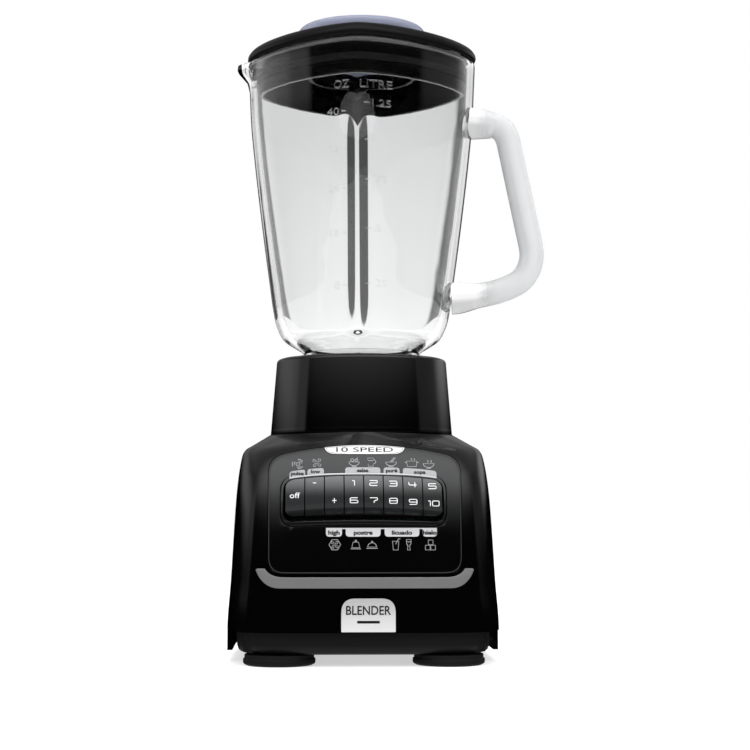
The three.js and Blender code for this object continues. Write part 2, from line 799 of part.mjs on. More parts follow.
function glassJar() {
  const outerProfile = JAR_ROWS.map(([z, half]) => [half, z]);
  const outer = pressed([[0, NECK_BOTTOM], ...outerProfile, [0, RIM_TOP]], JAR_SIDES, jarPlace);
  // Inside, the glass floor's curve is a little higher than outside, and the walls have fewer rows.
  const innerRows = JAR_ROWS.filter(([z]) => z > 192 && z < 340 && z !== 273);
  const innerProfile = [
    [NECK_BORE, NECK_BOTTOM - 2],
    [NECK_BORE, 190],
    [34, 193],
    ...innerRows.map(([z, half]) => [half - GLASS, z + 3]),
    [RIM_HALF - GLASS, RIM_TOP + 1],
  ];
  const inner = pressed([[0, NECK_BOTTOM - 2], ...innerProfile, [0, RIM_TOP + 1]], JAR_SIDES, jarPlace);
  return outer.add(handle()).subtract(inner);
}

function jarRing() {
  return turned([
    [42, SOCKET_FLOOR + 0.4],
    [43.4, SOCKET_FLOOR + 3.5],
    [44.6, 180],
    [43.8, 183.6],
    [36.6, 183.6],
    [36.6, 160.4],
    [28, 160.4],
    [28, 157.4],
    [38.5, 157.4],
    [39, SOCKET_FLOOR + 0.4],
  ]);
}

function jarGasket() {
  return turned([
    [29, 163.8],
    [35.6, 163.8],
    [35.6, NECK_BOTTOM - GAP],
    [29, NECK_BOTTOM - GAP],
  ]);
}

// The plate that closes the jar's neck and carries the blade shaft.
function bladePlate() {
  return turned([
    [SHAFT_RADIUS + GAP, 159],
    [8.5, 159],
    [9.5, 160.8],
    [35.8, 160.8],
    [35.8, 163.4],
    [13, 163.4],
    [10, 166.5],
    [8, 173.6],
    [SHAFT_RADIUS + GAP, 173.6],
  ]);
}

function bladeShaft() {
  return turned([
    [0, 154.4],
    [SHAFT_RADIUS, 154.4],
    [SHAFT_RADIUS, 174],
    [SPINDLE_RADIUS, 174.6],
    [SPINDLE_RADIUS, 186.4],
    [0, 186.4],
  ], SMALL_ROUND);
}

// A two-armed blade: a hub plate whose arms are tapered and bent up or down.
function blade(low, bend, turn) {
  const thick = 1.3;
  const arm = polygon([
    [6, -6],
    [17, -7.5],
    [28.5, -2],
    [29, 0.5],
    [18, 5.5],
    [6, 6],
  ]);
  const options = { depth: thick, bevelEnabled: false };
  const arms = [0, Math.PI].map((angle) => {
    // The arm is bent up or down about the line where it leaves the hub plate.
    const flat = new THREE.ExtrudeGeometry(arm, options).translate(-6, 0, 0);
    const bent = flat.rotateY(-bend).translate(6, 0, low);
    return solid(bent.rotateZ(angle + turn));
  });
  const hub = cylinder(7.2, low, low + thick);
  return join(hub, ...arms).subtract(cylinder(SPINDLE_RADIUS + GAP, low - 5, low + 10));
}

function bladeNut() {
  return raised(regular(6, 6), 178.6, 183).subtract(cylinder(SPINDLE_RADIUS + GAP, 170, 190));
}

function drivenCoupling() {
  return turned([
    [0, SOCKET_FLOOR + 1.2],
    [13.4, SOCKET_FLOOR + 1.2],
    [14, SOCKET_FLOOR + 3],
    [13.6, 158.4],
    [0, 158.4],
  ], 28)
    .subtract(raised(lobedOutline(0.6), 130, 154))
    .subtract(cylinder(SHAFT_RADIUS + GAP, 150, 170));
}

// ---------------------------------------------------------------- lid and cap

const SKIRT_HALF = 64.4;
const CAP_HOLE = 30.5;
const LID_SIDES = 32;
const NECK_LOW = 362; // the tube that stands around the cap under the lid
const NECK_WALL = 2.5;

function lid() {
  const base = RIM_TOP + 0.4;
  const outer = [
    [0, SKIRT_BOTTOM],
    [SKIRT_HALF - 0.8, SKIRT_BOTTOM],
    [SKIRT_HALF, SKIRT_BOTTOM + 1],
    [SKIRT_HALF, 358.2],
    [SKIRT_HALF - 1.6, 358.2],
    [SKIRT_HALF - 1.6, 363.8],
    [SKIRT_HALF, 363.8],
    [SKIRT_HALF, base],
    [RIM_HALF + 0.2, base],
    [RIM_HALF + 0.9, base + 2],
    [RIM_HALF + 0.7, base + 4.4],
    [RIM_HALF - 1.6, base + 7.6],
    [RIM_HALF - 7, base + 9.3],
    [50.5, 384.2],
    [40.5, 385.8],
    [38, LID_TOP],
    [0, LID_TOP],
  ];
  const inner = [
    [0, SKIRT_BOTTOM - 1],
    [SKIRT_HALF - 3.6, SKIRT_BOTTOM - 1],
    [SKIRT_HALF - 3.6, 372],
    [SKIRT_HALF - 7, 378.5],
    [42, 382.2],
    [0, 382.2],
  ];
  const neck = cylinder(CAP_HOLE + NECK_WALL, NECK_LOW, LID_TOP - 1, 0, 0, ROUND);
  return pressed(outer, LID_SIDES, cornerPlace)
    .subtract(pressed(inner, LID_SIDES, cornerPlace))
    .add(neck)
    .subtract(cylinder(CAP_HOLE, 340, 400, 0, 0, ROUND));
}

function lidSeal() {
  const ring = (half, low, high) => {
    const profile = [
      [0, low],
      [half, low],
      [half, high],
      [0, high],
    ];
    return pressed(profile, LID_SIDES, cornerPlace);
  };
  return ring(SKIRT_HALF + 0.6, 358.8, 363.2).subtract(ring(SKIRT_HALF - 1.2, 350, 370));
}

// The cap is a small measuring cup, upside down in the lid with its rim outside.
function measuringCap() {
  return turned([
    [CAP_HOLE - 3.2, 364],
    [CAP_HOLE - 1.2, 364],
    [CAP_HOLE - 0.6, LID_TOP + GAP],
    [36.4, LID_TOP + GAP],
    [37.3, LID_TOP + 1.4],
    [37.3, 391],
    [36.2, 392.5],
    [31.5, 393.2],
    [20, CAP_TOP],
    [0, CAP_TOP],
    [0, 391.2],
    [CAP_HOLE - 4, 390.4],
  ]);
}

// ---------------------------------------------------------------- assembly

const NUMBERED_KEYS = ["key_1_6", "key_2_7", "key_3_8", "key_4_9", "key_5_10"];
const KEY_NAMES = ["off_key", "low_key", "high_key", ...NUMBERED_KEYS];

const base = new THREE.Group();
base.add(
  mesh("motor_housing", glossBlack, motorHousing()),
  mesh("jar_collar", glossBlack, jarCollar()),
  mesh("base_plate", satinBlack, basePlate()),
  mesh("control_panel", panelBlack, controlPanel()),
  mesh("key_frame", satinBlack, keyFrame()),
  mesh("panel_badge", silverPlate, panelBadge()),
  mesh("trim_strip", silverTrim, frontSkin(trimOutline(), 0.5, -0.95)),
  mesh("front_plate", silverPlate, frontSkin(plateOutline(), 0.3, -0.75)),
  mesh("switch_block", phenolic, switchBlock()),
  mesh("control_board", boardGreen, block([-41, -53.4, 85], [41, -51.8, 115])),
  mesh("cord_gland", rubber, cordGland()),
  foot("foot_front_left", -1, -1),
  foot("foot_front_right", 1, -1),
  foot("foot_rear_left", -1, 1),
  foot("foot_rear_right", 1, 1),
  housingScrew("screw_front_left", -1, -1),
  housingScrew("screw_front_right", 1, -1),
  housingScrew("screw_rear_left", -1, 1),
  housingScrew("screw_rear_right", 1, 1),
);

const motor = new THREE.Group();
motor.add(
  mesh("lower_bracket", castAluminium, lowerBracket()),
  mesh("upper_bracket", castAluminium, upperBracket()),
  mesh("stator_core", laminatedSteel, statorCore()),
  mesh("field_coil_front", copper, fieldCoil(-1)),
  mesh("field_coil_rear", copper, fieldCoil(1)),
  mesh("lower_bearing", steel, bearing(39, 43.8)),
  mesh("upper_bearing", steel, bearing(113, 118.2)),
  mesh("brush_holder_left", phenolic, brushHolder(-1)),
  mesh("brush_holder_right", phenolic, brushHolder(1)),
  mesh("brush_left", carbon, brush(-1)),
  mesh("brush_right", carbon, brush(1)),
  motorBolt("motor_bolt_left", -1),
  motorBolt("motor_bolt_right", 1),
  mesh("motor_shaft", steel, motorShaft()),
  mesh("rotor_core", laminatedSteel, rotorCore()),
  mesh("commutator", copper, commutator()),
  mesh("cooling_fan", satinBlack, coolingFan()),
  mesh("drive_dog", satinBlack, driveDog()),
);

const jar = new THREE.Group();
jar.rotation.z = JAR_TURN;
jar.add(
  mesh("glass_jar", clearGlass, glassJar()),
  mesh("jar_ring", satinBlack, jarRing()),
  mesh("jar_gasket", rubber, jarGasket()),
  mesh("blade_plate", steel, bladePlate()),
  mesh("lid", satinBlack, lid()),
  mesh("lid_seal", rubber, lidSeal()),
  mesh("measuring_cap", tintedCap, measuringCap()),
);

const blades = new THREE.Group();
blades.add(
  mesh("blade_shaft", steel, bladeShaft()),
  mesh("lower_blade", steel, blade(175.2, -0.22, 0.5)),
  mesh("upper_blade", steel, blade(176.9, 0.3, 0.5 + Math.PI / 2)),
  mesh("blade_nut", steel, bladeNut()),
  mesh("driven_coupling", satinBlack, drivenCoupling()),
);

const keys = new THREE.Group();
KEY_NAMES.forEach((name, index) => keys.add(mesh(name, keyBlack, key(index))));

const assembly = new THREE.Group();
assembly.add(base, motor, jar, blades, keys);
assembly.position.set(AXIS_X, 0, -FOOT_BOTTOM);

const blender = new THREE.Group();
blender.add(assembly);

export default blender;
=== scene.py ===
"""The look of a countertop blender: glass jar, black lid, gloss black base with eight rocker keys.

Pieces are drawn in millimetres about the drive axis, with heights from a datum a little under the feet,
as the solid model is. placed() then sets each one in metres in the shared frame.
"""

from math import atan2, cos, exp, hypot, pi, radians, sin

import bpy
from mathutils import Matrix, Vector


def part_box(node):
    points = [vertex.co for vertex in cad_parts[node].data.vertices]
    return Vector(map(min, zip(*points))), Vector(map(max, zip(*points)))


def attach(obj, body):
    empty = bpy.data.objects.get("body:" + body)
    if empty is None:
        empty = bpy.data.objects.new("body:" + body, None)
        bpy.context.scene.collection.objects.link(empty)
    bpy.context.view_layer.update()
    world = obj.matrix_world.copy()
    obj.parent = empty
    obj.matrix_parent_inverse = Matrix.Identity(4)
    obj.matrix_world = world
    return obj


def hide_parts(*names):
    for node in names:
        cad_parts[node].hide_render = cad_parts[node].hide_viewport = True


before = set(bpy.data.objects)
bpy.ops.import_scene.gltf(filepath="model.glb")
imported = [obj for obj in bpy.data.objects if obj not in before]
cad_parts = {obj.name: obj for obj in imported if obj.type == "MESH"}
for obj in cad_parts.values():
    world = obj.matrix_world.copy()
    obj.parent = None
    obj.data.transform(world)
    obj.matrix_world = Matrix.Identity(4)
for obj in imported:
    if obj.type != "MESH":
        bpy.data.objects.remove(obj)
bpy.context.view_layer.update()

bl_info = {
    "name": "Countertop blender",
    "version": (1, 0, 0),
    "blender": (4, 5, 0),
    "location": "View3D > Sidebar > Blender",
    "description": "Builds the visible pieces, finishes and studio of a countertop blender",
    "category": "Object",
}

MM = 0.001
DATUM = 2.6  # how far the datum for heights lies under the feet


def middle_x(node):
    low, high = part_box(node)
    return (low[0] + high[0]) / 2


AXIS_X = middle_x("motor_shaft")
JAR_TURN = radians(-4)
GAP = 0.35  # between a plate and the edge of its pocket
BOTH_SIDES = (-1, 1)

# ---------------------------------------------------------------- rows and profiles

# height, half width, reach to the front, reach to the rear, squareness of the plan
BODY_ROWS = [
    (9.3, 80.6, 84.6, 84.6, 5.6),
    (22.2, 80.6, 84.4, 84.4, 5.6),
    (50, 78.8, 83.2, 83.2, 5.3),
    (80, 77.2, 80.9, 81.2, 5),
    (100, 76, 78.2, 79.6, 4.8),
    (112, 74.9, 75.2, 78, 4.5),
    (120, 73.8, 71.8, 76.4, 4.2),
    (125.2, 72.8, 68.6, 74.4, 3.9),
    (128.6, 70.8, 65.9, 71.8, 3.6),
    (130.4, 68, 64.2, 69, 3.3),
    (137.8, 56.9, 56.9, 56.9, 2),
]

# height, half diagonal, squareness (two is round, less is a square stood on its corner)
JAR_ROWS = [
    (165.7, 36, 2),
    (188.6, 36, 2),
    (191, 39.5, 1.98),
    (197.6, 48.9, 1.9),
    (210, 54, 1.8),
    (235, 57.8, 1.68),
    (273, 62.9, 1.58),
    (311, 67.4, 1.52),
    (335, 69.7, 1.5),
    (357, 70.7, 1.5),
    (369, 71.2, 1.5),
    (372, 70.8, 1.5),
]


def along(rows, z, column):
    """The value of a column at a height, on a smooth curve through the rows that never overshoots them."""
    z = min(max(z, rows[0][0]), rows[-1][0])
    i = max(k for k in range(len(rows) - 1) if rows[k][0] <= z)
    steps = [(b[column] - a[column]) / (b[0] - a[0]) for a, b in zip(rows, rows[1:])]

    def slope(k):
        if k == 0 or k == len(rows) - 1:
            return steps[min(k, len(steps) - 1)]
        before, after = steps[k - 1], steps[k]
        return 0 if before * after <= 0 else 2 * before * after / (before + after)

    length = rows[i + 1][0] - rows[i][0]
    t = (z - rows[i][0]) / length
    a, b = rows[i][column], rows[i + 1][column]
    return (
        (2 * t**3 - 3 * t**2 + 1) * a
        + (t**3 - 2 * t**2 + t) * length * slope(i)
        + (3 * t**2 - 2 * t**3) * b
        + (t**3 - t**2) * length * slope(i + 1)
    )


def smooth(value, low, high):
    """Goes smoothly from 0 to 1 between two values."""
    t = min(max((value - low) / (high - low), 0), 1)
    return t * t * (3 - 2 * t)


def power(value, exponent):
    """A power of the size of a value, with the value's own sign."""
    return (abs(value) ** exponent) * (1 if value >= 0 else -1)


def softened(points, radius, closed=False, steps=4):
    """A line of points with its corners rounded. A point may carry its own radius as a third number."""
    made = []
    count = len(points)
    for i, point in enumerate(points):
        here = Vector(point[:2])
        own = point[2] if len(point) > 2 else radius
        if not closed and i in (0, count - 1) or own == 0:
            made.append(tuple(here))
            continue
        before, after = Vector(points[i - 1][:2]), Vector(points[(i + 1) % count][:2])
        cut = min(own, (before - here).length * 0.48, (after - here).length * 0.48)
        start = here + (before - here).normalized() * cut
        end = here + (after - here).normalized() * cut
        for k in range(steps + 1):
            t = k / steps
            made.append(tuple(start.lerp(here, t).lerp(here.lerp(end, t), t)))
    return made


def body_front(x, z, out=0.0):
    """How far forward the base's front face stands at a place, grown outwards by out."""
    half, reach, squareness = (along(BODY_ROWS, z, column) for column in (1, 2, 4))
    share = min(abs(x) / (half + out), 1)
    return -(reach + out) * (1 - share**squareness) ** (1 / squareness)


def flute_at(x, z, depth, width):
    """How deep the flute in the jar's front corner is at a place."""
    return depth * smooth(z, 182, 222) * (1 - smooth(z, 312, 346)) * exp(-((x / width) ** 2))


def jar_front(x, z, out=0.0):
    """How far forward the jar's front corner wall stands at a place."""
    half, squareness = (along(JAR_ROWS, z, column) for column in (1, 2))
    share = min(abs(x) / (half + out), 1)
    wall = -(half + out) * (1 - share**squareness) ** (1 / squareness)
    jar = bpy.context.scene.glass_jar
    return wall + flute_at(x, z, jar.flute_depth, jar.flute_width)


# ---------------------------------------------------------------- modelling by hand


def only(*pieces):
    """Selects these pieces and nothing else, the first of them active."""
    bpy.ops.object.select_all(action="DESELECT")
    for piece in pieces:
        piece.select_set(True)
    bpy.context.view_layer.objects.active = pieces[0]


def edit(piece):
    only(piece)
    bpy.ops.object.mode_set(mode="EDIT")
    bpy.ops.mesh.select_all(action="SELECT")


def leave_edit():
    bpy.ops.object.mode_set(mode="OBJECT")


def drawn_up(name, rings, sides, capped):
    """A circle extruded upwards ring by ring, each ring one unit above the last."""
    bpy.ops.object.select_all(action="DESELECT")
    fill = "NGON" if capped else "NOTHING"
    bpy.ops.mesh.primitive_circle_add(vertices=sides, radius=1, fill_type=fill)
    piece = bpy.context.object
    piece.name = name
    edit(piece)
    for _ in range(rings - 1):
        bpy.ops.mesh.extrude_region_move(TRANSFORM_OT_translate={"value": (0, 0, 1)})
    leave_edit()
    return piece


def closed_up(piece):
    """Joins the first ring of an open tube to its last."""
    edit(piece)
    bpy.ops.mesh.select_all(action="DESELECT")
    bpy.ops.mesh.select_mode(type="EDGE")
    bpy.ops.mesh.select_non_manifold(extend=False)
    bpy.ops.mesh.bridge_edge_loops()
    bpy.ops.mesh.select_mode(type="VERT")
    leave_edit()


def outwards(piece):
    edit(piece)
    bpy.ops.mesh.remove_doubles(threshold=0.002)
    bpy.ops.mesh.select_all(action="SELECT")
    bpy.ops.mesh.normals_make_consistent(inside=False)
    leave_edit()


def shaped(name, profile, sides, place, ring=False):
    """A tube whose rings are set by place(angle, *row): row is each entry of the profile."""
    piece = drawn_up(name, len(profile), sides, not ring)
    for vertex in piece.data.vertices:
        row = profile[round(vertex.co.z)]
        vertex.co = place(atan2(vertex.co.y, vertex.co.x), *row)
    if ring:
        closed_up(piece)
    outwards(piece)
    return piece


def round_place(angle, radius, z):
    return radius * cos(angle), radius * sin(angle), z


def turned(name, profile, sides=96, ring=True):
    return shaped(name, profile, sides, round_place, ring)


def flat(name, outlines, thickness, edge=0.0):
    """A flat plate drawn as filled outlines in X and Y, its middle at height 0, with rounded edges."""
    curve = bpy.data.curves.new(name, "CURVE")
    curve.dimensions = "2D"
    curve.fill_mode = "BOTH"
    for outline in outlines:
        spline = curve.splines.new("POLY")
        spline.points.add(len(outline) - 1)
        for point, (x, y) in zip(spline.points, outline):
            point.co = (x, y, 0, 1)
        spline.use_cyclic_u = True
    curve.extrude = thickness / 2 - edge
    curve.bevel_depth = edge
    curve.bevel_resolution = 2
    curve.offset = -edge
    piece = bpy.data.objects.new(name, curve)
    bpy.context.collection.objects.link(piece)
    only(piece)
    bpy.ops.object.convert(target="MESH")
    outwards(piece)
    return piece


def strokes(name, lines, width, rise=0.3):
    """Thin raised lines, drawn in X and Y. Their height is a share of their width."""
    curve = bpy.data.curves.new(name, "CURVE")
    curve.dimensions = "3D"
    curve.bevel_depth = width / 2
    curve.bevel_resolution = 1
    curve.use_fill_caps = True
    for line in lines:
        closed = len(line) > 2 and hypot(line[0][0] - line[-1][0], line[0][1] - line[-1][1]) < 1e-6
        points = line[:-1] if closed else line
        spline = curve.splines.new("POLY")
        spline.points.add(len(points) - 1)
        for point, (x, y) in zip(spline.points, points):
            point.co = (x, y, 0, 1)
        spline.use_cyclic_u = closed
    piece = bpy.data.objects.new(name, curve)
    bpy.context.collection.objects.link(piece)
    only(piece)
    bpy.ops.object.convert(target="MESH")
    piece.data.transform(Matrix.Scale(rise, 4, (0, 0, 1)))
    outwards(piece)
    return piece


def lettering(text, x, y, height, thickness, width=None, align="CENTER", bold=0.0):
    """Raised text whose capitals are of a given height, with its foot at y."""
    bpy.ops.object.select_all(action="DESELECT")
    bpy.ops.object.text_add()
    piece = bpy.context.object
    piece.data.body = text
    piece.data.size = height / 0.7
    piece.data.extrude = thickness / 2
    piece.data.resolution_u = 4
    piece.data.offset = bold
    bpy.ops.object.convert(target="MESH")
    across = [vertex.co.x for vertex in piece.data.vertices]
    stretch = width / (max(across) - min(across)) if width else 1.25
    anchor = {"LEFT": min(across), "CENTER": (max(across) + min(across)) / 2, "RIGHT": max(across)}[align]
    for vertex in piece.data.vertices:
        vertex.co.x = (vertex.co.x - anchor) * stretch + x
        vertex.co.y += y
    outwards(piece)
    return piece


def joined(name, pieces):
    only(*pieces)
    if len(pieces) > 1:
        bpy.ops.object.join()
    pieces[0].name = name
    return pieces[0]


def sliced(piece, axis, places):
    """Cuts a piece across at each place, so that it can bend there."""
    edit(piece)
    normal = [1 if k == axis else 0 for k in range(3)]
    for place in places:
        bpy.ops.mesh.select_all(action="SELECT")
        bpy.ops.mesh.bisect(plane_co=[place * n for n in normal], plane_no=normal)
    leave_edit()


def span(low, high, step):
    """Even places between two ends, about a step apart, without the ends."""
    count = max(1, round((high - low) / step))
    return [low + (high - low) * k / count for k in range(1, count)]


def bent_to(piece, surface, middle_out, step=3.0):
    """Stands a flat plate up and lays it on surface(x, z, out), its middle middle_out in front of it."""
    xs = [vertex.co.x for vertex in piece.data.vertices]
    ys = [vertex.co.y for vertex in piece.data.vertices]
    if step:
        sliced(piece, 0, span(min(xs), max(xs), step))
        sliced(piece, 1, span(min(ys), max(ys), step))
    for vertex in piece.data.vertices:
        x, z, out = vertex.co
        vertex.co = (x, surface(x, z, middle_out + out), z)
    outwards(piece)
    return piece


def skin(name, outlines, inner, outer, edge=0.3, step=3.0):
    """A plate that follows the base's front, between two depths from its surface."""
    piece = flat(name, outlines, outer - inner, edge)
    return bent_to(piece, body_front, (inner + outer) / 2, step)


def modified(piece, kind, **settings):
    only(piece)
    modifier = piece.modifiers.new("step", kind)
    for key, value in settings.items():
        setattr(modifier, key, value)
    bpy.ops.object.modifier_apply(modifier=modifier.name)


def cut(piece, *cutters, keep="DIFFERENCE"):
    """Cuts a piece by others, or keeps what they share, and takes the others away."""
    for cutter in cutters:
        modified(piece, "BOOLEAN", object=cutter, operation=keep, solver="EXACT")
        bpy.data.objects.remove(cutter, do_unlink=True)


def eased(piece, width, segments):
    """Rounds the edges of a piece that turn by more than 40 degrees."""
    limits = {"limit_method": "ANGLE", "angle_limit": radians(40), "use_clamp_overlap": True}
    modified(piece, "BEVEL", width=width, segments=segments, **limits)


def brick(name, low, high):
    bpy.ops.object.select_all(action="DESELECT")
    centre = [(a + b) / 2 for a, b in zip(low, high)]
    bpy.ops.mesh.primitive_cube_add(size=1, location=centre)
    piece = bpy.context.object
    piece.name = name
    piece.scale = [b - a for a, b in zip(low, high)]
    bpy.ops.object.transform_apply(location=True, rotation=True, scale=True)
    return piece


def rod(name, radius, low, high, x=0.0, y=0.0, sides=48):
    piece = turned(name, [(radius, low), (radius, high)], sides, ring=False)
    piece.data.transform(Matrix.Translation((x, y, 0)))
    return piece


def placed(piece, body, finish, replaces=(), turn=0.0, angle=32):
    """Sets a piece drawn in millimetres into the shared frame, and gives it its body and finish."""
    only(piece)
    bpy.ops.object.transform_apply(location=True, rotation=True, scale=True)
    axis = Matrix.Translation((AXIS_X, 0, -DATUM * MM))
    piece.data.transform(axis @ Matrix.Rotation(turn, 4, "Z") @ Matrix.Scale(MM, 4))
    bpy.ops.object.shade_smooth_by_angle(angle=radians(angle))
    piece.data.materials.clear()
    piece.data.materials.append(finish_named(finish))
    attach(piece, body)
    if replaces:
        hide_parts(*replaces)


# ---------------------------------------------------------------- outlines


def quadratic(a, b, c, steps=10):
    a, b, c = Vector(a), Vector(b), Vector(c)
    return [tuple(a.lerp(b, k / steps).lerp(b.lerp(c, k / steps), k / steps)) for k in range(1, steps + 1)]


def cubic(a, b, c, d, steps=12):
    a, b, c, d = (Vector(p) for p in (a, b, c, d))
    made = []
    for k in range(1, steps + 1):
        t = k / steps
        ab, bc, cd = a.lerp(b, t), b.lerp(c, t), c.lerp(d, t)
        made.append(tuple(ab.lerp(bc, t).lerp(bc.lerp(cd, t), t)))
    return made


def bowed_box(half, top, bottom, top_bow, bottom_bow, top_radius, bottom_radius, middle=0.0):
    """A rounded box whose upper and lower edges are bowed upwards in the middle."""
    left, right = middle - half, middle + half
    low, high = bottom - bottom_bow, top - top_bow
    shoulder = high + 0.25 * top_radius
    points = [(left, low + bottom_radius)]
    points += quadratic(points[-1], (left, low), (left + bottom_radius, low))
    points += quadratic(points[-1], (middle, bottom + bottom_bow), (right - bottom_radius, low), 24)
    points += quadratic(points[-1], (right, low), (right, low + bottom_radius))
    points += [(right, high - top_radius)]
    points += quadratic(points[-1], (right, high), (right - top_radius, shoulder))
    points += quadratic(points[-1], (middle, top + 0.8 * top_bow), (left + top_radius, shoulder), 24)
    points += quadratic(points[-1], (left, high), (left, high - top_radius))
    return points


def panel_outline(grow=0.0):
    return bowed_box(55.7 + grow, 129.4 + grow, 55.8 - grow, 7.2, 0, 9, 9)


def frame_outline(grow=0.0):
    return bowed_box(47.6 + grow, 112.8 + grow, 83.7 - grow, 3.4, 0.8, 7, 8, KEYS_X)


def bank_outline(grow=0.0, drop=0.0):
    return bowed_box(45 + grow, 111.5 + grow, 89.3 - grow - drop, 3.2, 0.8, 5, 5, KEYS_X)


def badge_outline(grow=0.0):
    """A shallow bowl shape that hangs from the panel's upper edge."""
    half, top, bottom = 23.2 + grow, 129.6 + grow, 124.4 - grow
    points = [(-half, top - 1.3), (-half, 127.9)]
    points += quadratic(points[-1], (-half + 1, bottom), (-half + 7, bottom))
    points += [(half - 7, bottom)]
    points += quadratic(points[-1], (half - 1, bottom), (half, 127.9))
    points += [(half, top - 1.3)]
    points += quadratic(points[-1], (0, top + 1.6), (-half, top - 1.3), 20)[:-1]
    return points


def trim_outline(grow=0.0):
    """The strip that sweeps under the panel and turns up at both ends."""
    low, high, end, tip = 47.4 - grow, 53.7 + grow, 58.6 + grow, 62.6 + grow
    right = [(49, low)]
    right += cubic(right[-1], (56, low), (60.5, 52), (tip, end - 1))
    right += quadratic(right[-1], (tip, end), (tip - 2, end), 5)
    right += [(57.4 - grow, end)]
    right += cubic(right[-1], (55.2 - grow, 55.2 + grow), (52, high), (46, high))
    return right + [(-x, y) for x, y in reversed(right)]


PLATE_X = 1.8
PLATE_HALF = 15.5


def plate_outline(grow=0.0):
    left, right = PLATE_X - PLATE_HALF - grow, PLATE_X + PLATE_HALF + grow
    low, high = 22.7 - grow, 41.7 + grow
    corners = [(left, low, 0.6), (right, low, 0.6), (right, high, 8 + grow), (left, high, 8 + grow)]
    return softened(corners, 1, closed=True, steps=8)


def arc(x, y, radius, start, end, steps=10):
    angles = [radians(start + (end - start) * k / steps) for k in range(steps + 1)]
    return [(x + radius * cos(a), y + radius * sin(a)) for a in angles]


# ---------------------------------------------------------------- finishes


class Signal:
    """A node's output, which takes part in sums."""

    def __init__(self, sheet, socket):
        self.sheet, self.socket = sheet, socket

    def _math(self, operation, a, b):
        return self.sheet.node("Math", {"operation": operation}, {0: a, 1: b})

    def __add__(self, other):
        return self._math("ADD", self, other)

    def __rsub__(self, other):
        return self._math("SUBTRACT", other, self)

    def __mul__(self, other):
        return self._math("MULTIPLY", self, other)

    __radd__ = __add__
    __rmul__ = __mul__

    def ease(self, low, high):
        """Goes smoothly from 0 to 1 between two values."""
        sockets = {"Value": self, "From Min": low, "From Max": high}
        return self.sheet.node("MapRange", {"interpolation_type": "SMOOTHSTEP"}, sockets)

    def mix(self, a, b):
        """From colour a to colour b as this goes from 0 to 1."""
        return self.sheet.node("Mix", {"data_type": "RGBA"}, {0: self, 6: a, 7: b}, out=2)


class Sheet:
    """The nodes of one material or world."""

    def __init__(self, tree):
        self.tree = tree
        tree.nodes.clear()

    def node(self, kind, settings=None, sockets=None, out=0):
        made = self.tree.nodes.new("ShaderNode" + kind)
        for key, value in (settings or {}).items():
            if key == "stops":
                ramp = made.color_ramp.elements
                while len(ramp) < len(value):
                    ramp.new(1)
                for stop, (place, colour) in zip(ramp, value):
                    stop.position, stop.color = place, colour
            else:
                setattr(made, key, value)
        for key, value in (sockets or {}).items():
            if isinstance(value, Signal):
                self.tree.links.new(value.socket, made.inputs[key])
            else:
                made.inputs[key].default_value = value
        return Signal(self, made.outputs[out])

    def split(self, vector):
        first = self.node("SeparateXYZ", None, {0: vector})
        return [Signal(self, first.socket.node.outputs[k]) for k in range(3)]

    def at(self, scale=(1, 1, 1)):
        """Places on the piece, stretched."""
        place = self.node("TexCoord", out=3)
        return self.node("Mapping", None, {"Vector": place, "Scale": scale})

    def noise(self, scale, detail=2, stretch=(1, 1, 1)):
        sockets = {"Vector": self.at(stretch), "Scale": scale, "Detail": detail}
        return self.node("TexNoise", {"noise_dimensions": "3D"}, sockets)

    def climb(self, low, high):
        """Goes smoothly from 0 to 1 between two heights."""
        return self.split(self.at())[2].ease(low, high)

    def bump(self, height, distance, strength=1.0):
        return self.node("Bump", None, {"Height": height, "Distance": distance, "Strength": strength})

    def show(self, shader, output="OutputMaterial"):
        """Sends a shader to the material's or the world's output."""
        end = self.tree.nodes.new("ShaderNode" + output)
        self.tree.links.new(shader.socket, end.inputs["Surface"])


def shade(colour, factor):
    return [channel * factor for channel in colour[:3]] + [1]


def blank_material(name):
    material = bpy.data.materials.new(name)
    material.use_nodes = True
    return material, Sheet(material.node_tree)


def surface(name, colour, roughness, normal, **fixed):
    """A material of one shader: colour, roughness and normal may vary, the rest is the same all over."""
    material, sheet = blank_material(name)
    sockets = {"Base Color": colour(sheet), "Roughness": roughness(sheet), "Normal": normal(sheet)}
    sockets.update({key.replace("_", " "): value for key, value in fixed.items()})
    sheet.show(sheet.node("BsdfPrincipled", None, sockets))
    return material


def moulded(
    name, colour, roughness, grain=1400, depth=0.00002, blotch=0.12, wear=0.06, painted_reflection=None, **fixed
):
    """Moulded plastic or rubber: a fine grain, faint cloudy patches and a roughness that wanders.

    A painted reflection is given as two heights and the colour that is reached at the upper one: the tone
    changes with height to stand in for a reflection.
    """

    def tone(sheet):
        cloud = sheet.noise(35, 3)
        speck = sheet.noise(grain * 0.6, 1).ease(0.62, 0.8)
        full = (cloud * 0.8 + speck * 0.2).mix(shade(colour, 1 - blotch), shade(colour, 1 + blotch))
        if not painted_reflection:
            return full
        # painted reflection: the tone moves towards the upper colour with height
        low, high, upper = painted_reflection
        return sheet.climb(low, high).mix(full, upper)

    def gloss(sheet):
        return sheet.noise(60, 4) * wear + (roughness - wear / 2)

    def relief(sheet):
        return sheet.bump(sheet.noise(grain, 2), depth)

    return surface(name, tone, gloss, relief, **fixed)


